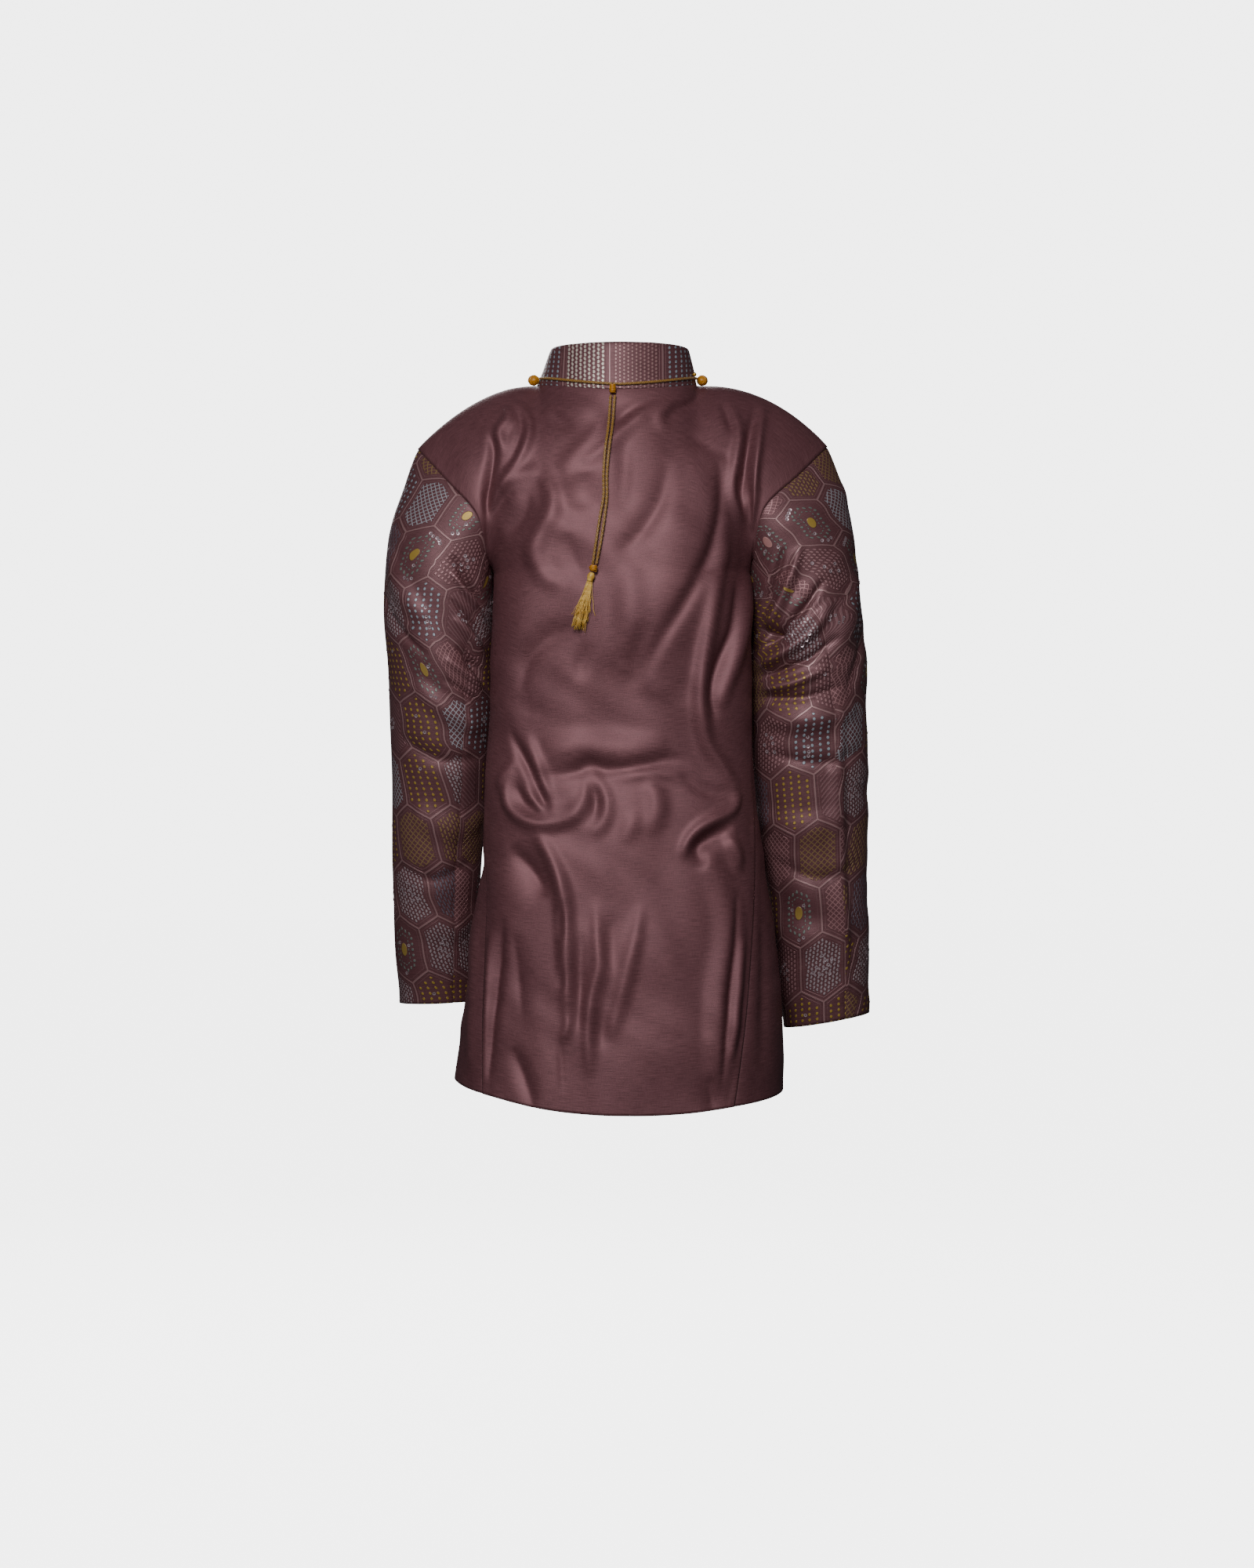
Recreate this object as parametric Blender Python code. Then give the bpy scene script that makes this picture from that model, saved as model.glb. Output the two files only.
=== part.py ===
"""A child's sherwani coat with a stand collar, as worn by a figure that is left out.

The origin is the middle of the neck opening at the height of the shoulder seams. +Z is up, the
front faces -Y, and the coat's left side is at +X. Table sizes are in millimetres.
"""
import math

import bmesh
import bpy
from mathutils import Vector

MM = 0.001

# Cloth and seams
WALL = 1.6
COLLAR_WALL = 2.2
SEAM_GAP = 0.45
LIFT = 0.4

# Body of the coat
UNDERARM = -150.0
HEM = -560.0
UPPER_SHARE = 0.30
ARMHOLE_EASE = 1.1
SHOULDER_SHARE = 0.30
CORNER_POWER = 0.82
TIP_X = (158.0, 167.0)
TIP_DROP = (50.0, 48.0)
TIP_CURVE = (1.95, 2.3)
NECK_HALF = 63.0
NECK_BACK = 52.0
NECK_FRONT = 58.0
NECK_BACK_DROP = 8.0
NECK_FRONT_DROP = 46.0
UNDER_LAP_SINK = 2.6
LAP_REACH = 32.0

# Columns: height, left half width, right half width, back depth, front depth, lean to the back
TORSO = (
    (-580.0, 132.0, 132.0, 98.0, 99.0, 0.0),
    (-500.0, 123.0, 131.5, 95.0, 96.0, 0.0),
    (-450.0, 115.0, 126.0, 92.0, 93.0, 0.02),
    (-400.0, 107.0, 118.8, 88.0, 91.0, 0.08),
    (-340.0, 103.0, 108.0, 83.0, 88.0, 0.18),
    (-300.0, 100.0, 104.0, 78.0, 84.0, 0.22),
    (-250.0, 96.5, 103.3, 79.0, 83.0, 0.22),
    (-200.0, 95.8, 102.8, 83.0, 85.0, 0.22),
    (-165.0, 96.6, 103.0, 85.0, 86.0, 0.12),
    (-150.0, 98.0, 104.0, 85.0, 86.0, 0.0),
)
# Columns: height, angle of the left and of the right side seam behind the coat's side, degrees
SIDE_SEAMS = (
    (-580.0, 42.0, 53.0),
    (-340.0, 20.0, 28.0),
    (-150.0, 0.0, 0.0),
)
# Columns: angle round the hem from the left side, degrees, and height of the hem
HEM_LINE = (
    (-180.0, -554.0),
    (-90.0, -556.0),
    (0.0, -546.0),
    (40.0, -553.0),
    (90.0, -567.0),
    (140.0, -560.0),
    (180.0, -554.0),
)
# Columns: turn from the shoulder tip over the back, degrees, x, y, z
ARMHOLES = (
    (
        (-45.0, 134.0, -35.0, -77.0),
        (0.0, 158.0, 0.0, -50.0),
        (45.0, 134.0, 35.0, -77.0),
        (90.0, 108.0, 50.0, -107.0),
        (135.0, 101.0, 32.0, -138.0),
        (180.0, 98.0, 0.0, -150.0),
        (225.0, 101.0, -32.0, -138.0),
    ),
    (
        (-45.0, 143.0, -36.0, -73.0),
        (0.0, 167.0, 0.0, -48.0),
        (45.0, 143.0, 36.0, -73.0),
        (90.0, 114.0, 51.0, -102.0),
        (135.0, 107.0, 33.0, -136.0),
        (180.0, 104.0, 0.0, -150.0),
        (225.0, 107.0, -33.0, -136.0),
    ),
)
# Columns: share of the length, outer x, outer z, inner x, inner z, middle y, half depth
SLEEVES = (
    (
        (0.00, 158.0, -50.0, 98.0, -150.0, 0.0, 50.0),
        (0.08, 169.0, -79.0, 97.9, -166.0, -1.0, 50.0),
        (0.16, 178.0, -110.0, 97.2, -182.0, -2.0, 50.0),
        (0.24, 183.0, -141.0, 97.0, -200.0, -3.0, 50.0),
        (0.32, 184.5, -175.0, 97.2, -224.0, -5.0, 49.0),
        (0.44, 182.0, -225.0, 96.8, -256.0, -9.0, 47.0),
        (0.56, 180.0, -284.0, 100.5, -296.0, -17.0, 44.0),
        (0.68, 179.5, -346.0, 105.6, -350.0, -28.0, 40.0),
        (0.79, 180.0, -397.0, 110.4, -400.0, -38.0, 37.0),
        (0.89, 179.0, -441.0, 114.0, -443.0, -49.0, 34.0),
        (1.00, 176.5, -492.0, 115.0, -490.0, -60.0, 32.0),
    ),
    (
        (0.00, 167.0, -48.0, 104.0, -150.0, 0.0, 51.0),
        (0.08, 179.0, -79.0, 104.6, -166.0, 0.0, 51.0),
        (0.16, 186.0, -110.0, 104.2, -183.0, -1.0, 51.0),
        (0.24, 191.0, -145.0, 104.0, -202.0, -2.0, 51.0),
        (0.32, 195.0, -180.0, 104.0, -226.0, -3.0, 50.0),
        (0.44, 198.0, -230.0, 104.2, -258.0, -6.0, 48.0),
        (0.56, 199.0, -290.0, 106.5, -302.0, -11.0, 45.0),
        (0.68, 200.0, -346.0, 112.4, -352.0, -18.0, 42.0),
        (0.79, 200.0, -396.0, 121.0, -402.0, -25.0, 39.0),
        (0.89, 202.0, -442.0, 128.0, -452.0, -31.0, 36.0),
        (1.00, 202.5, -498.0, 134.0, -510.0, -38.0, 33.0),
    ),
)

# Largest folds of the back, as seen from behind.
# Columns: start x, start height, end x, end height, half width, height of the ridge
BACK_FOLDS = (
    (-60.0, -25.0, -2.0, -80.0, 11.0, -4.0),
    (-66.0, -60.0, -52.0, -190.0, 20.0, 4.5),
    (-72.0, -70.0, -66.0, -170.0, 8.0, -5.0),
    (-66.0, -170.0, -30.0, -230.0, 10.0, -4.0),
    (-90.0, -60.0, -88.0, -110.0, 8.0, 4.0),
    (-20.0, -60.0, -10.0, -170.0, 18.0, 2.5),
    (66.0, -30.0, 64.0, -66.0, 7.0, -4.0),
    (84.0, -74.0, 60.0, -60.0, 9.0, 3.5),
    (50.0, -80.0, 54.0, -120.0, 12.0, 3.0),
    (20.0, -60.0, 44.0, -84.0, 10.0, 3.0),
    (-50.0, -170.0, -54.0, -270.0, 9.0, 3.5),
    (-68.0, -180.0, -64.0, -262.0, 8.0, -5.0),
    (-20.0, -200.0, 0.0, -250.0, 12.0, -2.5),
    (60.0, -300.0, -44.0, -296.0, 7.0, -5.0),
    (60.0, -285.0, -50.0, -280.0, 12.0, 4.0),
    (84.0, -312.0, 60.0, -342.0, 8.0, 5.0),
    (60.0, -342.0, 24.0, -316.0, 8.0, 4.0),
    (70.0, -285.0, 58.0, -325.0, 7.0, -4.5),
    (-60.0, -280.0, -92.0, -318.0, 8.0, 6.0),
    (-92.0, -318.0, -56.0, -362.0, 8.0, 5.0),
    (-80.0, -350.0, -74.0, -380.0, 12.0, -7.0),
    (84.0, -350.0, 62.0, -400.0, 20.0, -8.0),
    (46.0, -360.0, 40.0, -470.0, 9.0, 4.5),
    (24.0, -440.0, 20.0, -540.0, 7.0, 3.0),
    (-10.0, -430.0, 6.0, -510.0, 8.0, 2.5),
    (43.0, -500.0, 44.0, -560.0, 5.0, -2.5),
    (-74.0, -380.0, -76.0, -560.0, 12.0, 3.5),
    (80.0, -430.0, 86.0, -560.0, 9.0, -4.0),
)
# Largest folds of the fronts, as seen from the front, in the same columns
FRONT_FOLDS = (
    (78.0, -80.0, 40.0, -170.0, 14.0, 4.0),
    (-84.0, -80.0, -44.0, -180.0, 14.0, 4.5),
    (90.0, -150.0, 44.0, -250.0, 12.0, -4.0),
    (-92.0, -160.0, -46.0, -260.0, 12.0, -4.0),
    (70.0, -290.0, 38.0, -306.0, 9.0, 4.0),
    (-72.0, -296.0, -42.0, -286.0, 9.0, 4.0),
    (96.0, -330.0, 84.0, -556.0, 12.0, 5.0),
    (58.0, -360.0, 62.0, -556.0, 12.0, -4.0),
    (-98.0, -330.0, -92.0, -556.0, 12.0, 5.0),
    (-60.0, -350.0, -64.0, -556.0, 12.0, -4.0),
)
# Columns: share along, turn round the sleeve in degrees, half share, half turn, height
SLEEVE_FOLDS = (
    (0.20, 150.0, 0.030, 50.0, -4.0),
    (0.30, 140.0, 0.030, 60.0, 3.5),
    (0.40, 150.0, 0.028, 60.0, -4.0),
    (0.48, 130.0, 0.028, 60.0, 3.0),
    (0.26, 20.0, 0.045, 50.0, -2.5),
    (0.56, 60.0, 0.035, 60.0, -3.0),
    (0.63, 100.0, 0.030, 70.0, 2.5),
    (0.78, 40.0, 0.040, 60.0, -2.0),
    (0.36, 300.0, 0.035, 60.0, -3.0),
    (0.52, 290.0, 0.035, 70.0, 3.0),
    (0.70, 270.0, 0.035, 60.0, -2.5),
)

# Stand collar
COLLAR_TOP_HALF = 54.5
COLLAR_TOP_BACK = 45.0
COLLAR_TOP_FRONT = 53.0
COLLAR_TOP = 28.5
COLLAR_FRONT_HEIGHT = 32.0
COLLAR_SHIFT = -2.5
COLLAR_GAP_ANGLE = 4.0

# Buttons, down the left front
BUTTON_TOP = -74.0
BUTTON_STEP = 58.0
BUTTON_COUNT = 6
BUTTON_RADIUS = 7.0
BUTTON_DOME = 4.2

# Gold cord
CORD = 2.2
CORD_GAP = 0.3
CORD_LIFT = 1.5
BINDING_RADIUS = 2.7
BINDING_LENGTH = 7.0
NECK_CORD_TURNS = (14.0, 168.0)
NECK_CORD_MIDDLE = 85.0
NECK_CORD_RISE = (4.5, 2.4)
KNOT_RADIUS = 4.3
KNOT_LENGTH = 9.5
# Columns: x and height of each hanging strand, seen from behind
STRAND_ROUTES = (
    ((4.6, -14.9), (6.4, -40.0), (8.9, -60.0), (10.0, -78.0), (10.0, -95.0), (12.8, -112.0),
     (15.6, -130.0), (18.2, -147.2)),
    ((1.4, -14.9), (3.4, -40.0), (6.0, -60.0), (7.4, -78.0), (7.4, -95.0), (9.2, -112.0),
     (12.0, -130.0), (15.4, -147.2)),
)
LOWER_KNOT_PLACE = (17.3, -150.6)
LOWER_KNOT_RADIUS = 3.4
TASSEL_TOP = (19.4, -157.8)
TASSEL_BOTTOM = (28.6, -197.0)
TASSEL_HEAD_RADIUS = 3.0
TASSEL_SPREAD = 1.9
TASSEL_THREADS = 7
TASSEL_LIFT = 3.6
THREAD_GAP = 0.12

# Mesh resolution
BODY_COLUMNS = 30
LAP_COLUMNS = 1
BODY_ROWS = 30
SLEEVE_CELLS = (18, 20)
COLLAR_CELLS = (24, 4)

# Colours, roughness and metallic value
PLUM_SATIN = ((0.165, 0.066, 0.076, 1.0), 0.45, 0.0)
EMBROIDERED = ((0.150, 0.085, 0.090, 1.0), 0.7, 0.0)
GOLD_CORD = ((0.36, 0.17, 0.03, 1.0), 0.6, 0.0)
BRASS = ((0.50, 0.33, 0.12, 1.0), 0.35, 1.0)


def mix(low, high, share):
    return low + (high - low) * share


def smooth_step(value):
    value = min(max(value, 0.0), 1.0)
    return value * value * (3.0 - 2.0 * value)


def interpolate(rows, key):
    """Smooth values at a key, through rows whose first column is the key, lowest first."""
    last = len(rows) - 1
    key = min(max(key, rows[0][0]), rows[last][0])
    index = 0
    while index < last - 1 and key > rows[index + 1][0]:
        index += 1
    low, high = rows[index], rows[index + 1]
    before, after = rows[max(index - 1, 0)], rows[min(index + 2, last)]
    span = high[0] - low[0]
    share = (key - low[0]) / span
    values = []
    for column in range(1, len(low)):
        slope_low = (high[column] - before[column]) / (high[0] - before[0]) * span
        slope_high = (after[column] - low[column]) / (after[0] - low[0]) * span
        step = smooth_step(share)
        bend_low = share * (1.0 - share) ** 2 * slope_low
        bend_high = share * share * (share - 1.0) * slope_high
        values.append(mix(low[column], high[column], step) + bend_low + bend_high)
    return values


def armhole(side, turn):
    """A point of the armhole seam: turn 0 is the shoulder tip, 90 the back, 180 the underarm."""
    front = turn > 180.0
    if front:
        turn = 360.0 - turn
    x, y, z = interpolate(ARMHOLES[side], turn)
    return Vector((x if side == 0 else -x, -y if front else y, z))


def armhole_radial(side, turn):
    """The direction from the middle of the armhole out to its seam, upright at the underarm."""
    middle = (armhole(side, 0.0) + armhole(side, 180.0)) / 2.0
    radial = armhole(side, turn) - middle
    radial.x *= (1.0 + math.cos(math.radians(turn))) / 2.0
    return radial.normalized()


def section(height, angle):
    """A point of the body's level outline: angle 0 is the left side, 90 the middle of the back."""
    left, right, back, front, lean = interpolate(TORSO, height)
    cosine, sine = math.cos(math.radians(angle)), math.sin(math.radians(angle))
    half = left if cosine > 0.0 else right
    depth = back if sine > 0.0 else front
    x = math.copysign(abs(cosine) ** CORNER_POWER, cosine) * half * (1.0 + lean * sine)
    y = math.copysign(abs(sine) ** CORNER_POWER, sine) * depth
    return Vector((x, y, height))


def neck_point(face, angle):
    """A point of the neck seam, on the back (face 1) or the front (face -1)."""
    cosine, sine = math.cos(math.radians(angle)), abs(math.sin(math.radians(angle)))
    depth = NECK_BACK if face > 0 else NECK_FRONT
    drop = NECK_BACK_DROP * sine ** 2 if face > 0 else NECK_FRONT_DROP * sine ** 1.7
    return Vector((COLLAR_SHIFT * sine + NECK_HALF * cosine, face * depth * sine, -drop))


def ridge(face, across):
    """A point of the panel's top edge: shoulder seam, neck seam, shoulder seam."""
    share = min(across, 1.0 - across)
    if share >= SHOULDER_SHARE:
        angle = 180.0 * (across - SHOULDER_SHARE) / (1.0 - 2.0 * SHOULDER_SHARE)
        return neck_point(face, angle)
    side = 0 if across < 0.5 else 1
    x = mix(TIP_X[side], NECK_HALF, share / SHOULDER_SHARE)
    out = (x - NECK_HALF) / (TIP_X[side] - NECK_HALF)
    return Vector((x if side == 0 else -x, 0.0, -TIP_DROP[side] * out ** TIP_CURVE[side]))


def dome(face, across, down):
    """The surface between the top edge and the underarm line, before it meets the armhole."""
    top = ridge(face, across)
    low = section(UNDERARM, face * 180.0 * across)
    turn = down * math.pi / 2.0
    rounding = smooth_step((abs(2.0 * across - 1.0) - 0.15) / 0.4)
    fall = mix(down, 1.0 - math.cos(turn), rounding)
    x = mix(top.x, low.x, down)
    y = mix(top.y, low.y, math.sin(turn))
    return Vector((x, y, mix(top.z, low.z, fall)))


def body_point(face, across, down):
    """A point of the smooth body. Across runs from the left side to the right, down to the hem."""
    if down < UPPER_SHARE:
        part = down / UPPER_SHARE
        side = 0 if across < 0.5 else 1
        turn = 180.0 * part ** ARMHOLE_EASE
        edge = armhole(side, turn if face > 0 else 360.0 - turn)
        pull = abs(2.0 * across - 1.0) ** 3
        return dome(face, across, part) + (edge - dome(face, float(side), part)) * pull
    part = (down - UPPER_SHARE) / (1.0 - UPPER_SHARE)
    left, right = interpolate(SIDE_SEAMS, mix(UNDERARM, HEM, part))
    seam = left if across < 0.5 else face * 180.0 - right
    angle = mix(face * 90.0, seam, abs(2.0 * across - 1.0))
    hem_angle = angle + 360.0 if angle < -180.0 else angle
    hem = interpolate(HEM_LINE, hem_angle)[0]
    return section(mix(UNDERARM, hem, part), angle)


def surface_normal(point_at, first, second, outward):
    """The unit normal of a surface by small steps, turned to the side of outward."""
    step = 0.002
    here = (min(max(first, step), 1.0 - step), min(max(second, step), 1.0 - step))
    along = point_at(here[0] + step, here[1]) - point_at(here[0] - step, here[1])
    down = point_at(here[0], here[1] + step) - point_at(here[0], here[1] - step)
    normal = along.cross(down).normalized()
    return -normal if normal.dot(outward) < 0.0 else normal


def body_normal(face, across, down):
    """The body's outward normal. At an armhole both cloths share the armhole's own direction."""
    if down <= UPPER_SHARE and min(across, 1.0 - across) < 1e-6:
        side = 0 if across < 0.5 else 1
        turn = 180.0 * (down / UPPER_SHARE) ** ARMHOLE_EASE
        return armhole_radial(side, turn if face > 0 else 360.0 - turn)
    point = body_point(face, across, down)
    outward = Vector((point.x * 0.5, point.y + face * 20.0, 40.0 if down < UPPER_SHARE else 0.0))
    normal = surface_normal(lambda a, d: body_point(face, a, d), across, down, outward)
    if down <= 0.0 and min(across, 1.0 - across) < SHOULDER_SHARE + 0.01:
        normal = Vector((normal.x, 0.0, normal.z)).normalized()
    return normal


def ridge_height(folds, x, height):
    """The sum of the folds at a point, each a soft ridge along a straight run."""
    total = 0.0
    for start_x, start_z, end_x, end_z, half_width, rise in folds:
        run_x, run_z = end_x - start_x, end_z - start_z
        length = math.hypot(run_x, run_z)
        along = ((x - start_x) * run_x + (height - start_z) * run_z) / (length * length)
        aside = ((x - start_x) * run_z - (height - start_z) * run_x) / length
        beyond = max(-along, along - 1.0, 0.0) * length
        distance = math.hypot(aside, beyond) / half_width
        if distance < 2.0:
            total += rise * math.cos(distance * math.pi / 4.0) ** 2
    return total


def fold_fade(across, down):
    """Folds die out at the shoulder, neck, armhole and side seams, where two cloths meet."""
    side = smooth_step(min(across, 1.0 - across) / 0.05)
    return side * smooth_step(down / 0.06)


def clothed_point(face, across, down):
    """A point of the body with its folds."""
    point = body_point(face, across, down)
    folds = BACK_FOLDS if face > 0 else FRONT_FOLDS
    rise = ridge_height(folds, point.x, point.z) * fold_fade(across, down)
    return point + body_normal(face, across, down) * rise


def place_on(face, x, height, lift):
    """The point over the body seen at x and height from its own side, lifted off the cloth."""
    across, down = 0.5 - x / 200.0, min(0.9, -height / 560.0)
    for _ in range(40):
        point = clothed_point(face, across, down)
        across = min(max(across + (point.x - x) / 520.0, 0.02), 0.98)
        down = min(max(down + (point.z - height) / 620.0, 0.0), 1.0)
    return clothed_point(face, across, down) + body_normal(face, across, down) * lift


def material(name, look):
    colour, roughness, metallic = look
    made = bpy.data.materials.new(name)
    made.use_nodes = True
    shader = made.node_tree.nodes["Principled BSDF"]
    shader.inputs["Base Color"].default_value = colour
    shader.inputs["Roughness"].default_value = roughness
    shader.inputs["Metallic"].default_value = metallic
    made.diffuse_color = colour
    return made


def finish(bm, name, look):
    """Turn a bmesh in millimetres into the named object."""
    bmesh.ops.scale(bm, verts=bm.verts, vec=(MM, MM, MM))
    bmesh.ops.recalc_face_normals(bm, faces=bm.faces)
    mesh = bpy.data.meshes.new(name)
    bm.to_mesh(mesh)
    bm.free()
    made = bpy.data.objects.new(name, mesh)
    made.data.materials.append(material(name, look))
    bpy.context.scene.collection.objects.link(made)
    return made


def cloth(name, look, cells, outer_at, inner_at, closed=False):
    """A walled cloth over a grid. Closed cloths join their first and last columns to a tube."""
    columns, rows = cells
    bm = bmesh.new()
    skins = []
    for place in (outer_at, inner_at):
        skin = []
        for row in range(rows + 1):
            count = columns if closed else columns + 1
            skin.append([bm.verts.new(place(c / columns, row / rows)) for c in range(count)])
        skins.append(skin)
    for skin in skins:
        for row in range(rows):
            for column in range(columns):
                beside = (column + 1) % columns if closed else column + 1
                bm.faces.new((skin[row][column], skin[row][beside],
                              skin[row + 1][beside], skin[row + 1][column]))
    outer, inner = skins
    for row in (0, rows):
        for column in range(columns):
            beside = (column + 1) % columns if closed else column + 1
            bm.faces.new((outer[row][column], outer[row][beside],
                          inner[row][beside], inner[row][column]))
    if not closed:
        for column in (0, columns):
            for row in range(rows):
                bm.faces.new((outer[row][column], outer[row + 1][column],
                              inner[row + 1][column], inner[row][column]))
    return finish(bm, name, look)


def seam_shift(face, across, down):
    """Move a panel's seam edges back, so that the cloths lie a seam gap apart."""
    shift = Vector((0.0, 0.0, 0.0))
    share = min(across, 1.0 - across)
    if down <= 0.0 and share < SHOULDER_SHARE:
        shift.y = face * SEAM_GAP / 2.0
    if down > UPPER_SHARE - 1e-6 and share < 1e-6:
        beside = abs(across - 0.02)
        along = body_point(face, beside, down + 1e-6) - body_point(face, across, down + 1e-6)
        along.z = 0.0
        shift += along.normalized() * SEAM_GAP / 2.0
    return shift


def make_back():
    def outer_at(across, down):
        return clothed_point(1, across, down) + seam_shift(1, across, down)

    def inner_at(across, down):
        return outer_at(across, down) - body_normal(1, across, down) * WALL

    cloth("back", PLUM_SATIN, (BODY_COLUMNS, BODY_ROWS), outer_at, inner_at)


def make_front(side):
    name = ("front_left", "front_right")[side]
    columns = BODY_COLUMNS // 2 + LAP_COLUMNS

    def across_at(share):
        reach = share * columns / BODY_COLUMNS
        return reach if side == 0 else 1.0 - reach

    def outer_at(share, down):
        across = across_at(share)
        point = clothed_point(-1, across, down) + seam_shift(-1, across, down)
        if side == 1:
            sink = UNDER_LAP_SINK * smooth_step((point.x + LAP_REACH + 14.0) / 14.0)
            point -= body_normal(-1, across, down) * sink
        return point

    def inner_at(share, down):
        return outer_at(share, down) - body_normal(-1, across_at(share), down) * WALL

    cloth(name, PLUM_SATIN, (columns, BODY_ROWS), outer_at, inner_at)


def sleeve_ring(side, turn, along):
    """A point of the smooth sleeve: turn 0 is its outer side, 90 its back."""
    outer_x, outer_z, inner_x, inner_z, middle_y, depth = interpolate(SLEEVES[side], along)
    hand = 1.0 if side == 0 else -1.0
    middle = Vector((hand * (outer_x + inner_x) / 2.0, middle_y, (outer_z + inner_z) / 2.0))
    half = Vector((hand * (outer_x - inner_x) / 2.0, 0.0, (outer_z - inner_z) / 2.0))
    angle = math.radians(turn)
    return middle + half * math.cos(angle) + Vector((0.0, depth * math.sin(angle), 0.0))


def sleeve_axis(side):
    """The direction in which the sleeve leaves its armhole."""
    half = armhole(side, 0.0) - armhole(side, 180.0)
    hand = 1.0 if side == 0 else -1.0
    return Vector((-half.z * hand, 0.0, half.x * hand)).normalized() * -1.0


def sleeve_point(side, turn, along):
    """A point of the sleeve, which starts on the armhole seam, without its folds."""
    point = sleeve_ring(side, turn, along)
    pull = max(0.0, 1.0 - along / 0.24) ** 2
    start = armhole(side, turn % 360.0) + sleeve_axis(side) * SEAM_GAP
    return point + (start - sleeve_ring(side, turn, 0.0)) * pull


def sleeve_normal(side, turn, along):
    if along <= 0.0:
        return armhole_radial(side, turn % 360.0)
    middle = (sleeve_point(side, 0.0, along) + sleeve_point(side, 180.0, along)) / 2.0
    outward = sleeve_point(side, turn, along) - middle
    low, high = max(along - 0.01, 0.0), min(along + 0.01, 1.0)
    length = sleeve_point(side, turn, high) - sleeve_point(side, turn, low)
    around = sleeve_point(side, turn + 2.0, along) - sleeve_point(side, turn - 2.0, along)
    normal = around.cross(length).normalized()
    return -normal if normal.dot(outward) < 0.0 else normal


def sleeve_rise(turn, along):
    """The sum of the sleeve's folds, which die out at both ends and where it meets the body."""
    total = 0.0
    for at, facing, half_share, half_turn, rise in SLEEVE_FOLDS:
        aside = (along - at) / half_share
        around = ((turn - facing + 180.0) % 360.0 - 180.0) / half_turn
        distance = math.hypot(aside, around)
        if distance < 2.0:
            total += rise * math.cos(distance * math.pi / 4.0) ** 2
    inner = smooth_step((-math.cos(math.radians(turn)) - 0.6) / 0.3)
    total *= 1.0 - 0.85 * inner * smooth_step((0.62 - along) / 0.1)
    return total * smooth_step(along / 0.12) * smooth_step((1.0 - along) / 0.08)


def sleeve_turn(share):
    """The turn at a share of the way round, which keeps step with the rows of the armhole."""
    half = 180.0 * (2.0 * min(share, 1.0 - share)) ** ARMHOLE_EASE
    return half if share <= 0.5 else 360.0 - half


def make_sleeve(side):
    name = ("sleeve_left", "sleeve_right")[side]

    def outer_at(share, along):
        turn = sleeve_turn(share)
        normal = sleeve_normal(side, turn, along)
        return sleeve_point(side, turn, along) + normal * sleeve_rise(turn, along)

    def inner_at(share, along):
        return outer_at(share, along) - sleeve_normal(side, sleeve_turn(share), along) * WALL

    cloth(name, EMBROIDERED, SLEEVE_CELLS, outer_at, inner_at, closed=True)


def collar_point(angle, up):
    """A point of the collar's outer side: angle 90 is the back, 270 the front."""
    cosine, sine = math.cos(math.radians(angle)), math.sin(math.radians(angle))
    face = 1 if sine > 0.0 else -1
    base = neck_point(face, angle)
    base.z += SEAM_GAP + 0.5 * max(0.0, -sine) ** 4
    depth = COLLAR_TOP_BACK if sine > 0.0 else COLLAR_TOP_FRONT
    front_top = -NECK_FRONT_DROP + COLLAR_FRONT_HEIGHT
    top_z = COLLAR_TOP if sine > 0.0 else mix(COLLAR_TOP, front_top, abs(sine) ** 1.7)
    top = Vector((COLLAR_SHIFT + COLLAR_TOP_HALF * cosine, sine * depth, top_z))
    return base.lerp(top, up)


def collar_angle(share):
    """The turn round the collar, from one front end to the other."""
    return min(max(360.0 * share - 90.0, COLLAR_GAP_ANGLE - 90.0), 270.0 - COLLAR_GAP_ANGLE)


def collar_up(share, up):
    """The collar's front corners are rounded off."""
    corner = max(0.0, 1.0 - min(share, 1.0 - share) / 0.05)
    return up * (1.0 - 0.4 * corner ** 2)


def make_collar():
    def outer_at(share, up):
        return collar_point(collar_angle(share), collar_up(share, up))

    def inner_at(share, up):
        point = outer_at(share, up)
        angle = math.radians(collar_angle(share))
        depth = NECK_BACK if math.sin(angle) > 0.0 else NECK_FRONT
        inward = Vector((math.cos(angle) / NECK_HALF, math.sin(angle) / depth, 0.0))
        return point - inward.normalized() * COLLAR_WALL

    cloth("collar", EMBROIDERED, COLLAR_CELLS, outer_at, inner_at)


def make_button(number):
    """A domed button that lies on the left front."""
    height = BUTTON_TOP - BUTTON_STEP * number
    base = place_on(-1, 0.0, height, LIFT + 0.2)
    out = base - place_on(-1, 0.0, height, 0.0)
    bm = bmesh.new()
    bmesh.ops.create_uvsphere(bm, u_segments=14, v_segments=8, radius=1.0)
    lower = [v for v in bm.verts if v.co.z < -0.01]
    bmesh.ops.delete(bm, geom=lower, context="VERTS")
    bmesh.ops.holes_fill(bm, edges=[e for e in bm.edges if e.is_boundary], sides=0)
    bmesh.ops.scale(bm, verts=bm.verts, vec=(BUTTON_RADIUS, BUTTON_RADIUS, BUTTON_DOME))
    turn = out.normalized().to_track_quat("Z", "Y").to_matrix()
    bmesh.ops.rotate(bm, verts=bm.verts, matrix=turn)
    bmesh.ops.translate(bm, verts=bm.verts, vec=base)
    finish(bm, f"button_{number + 1}", BRASS)


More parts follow.
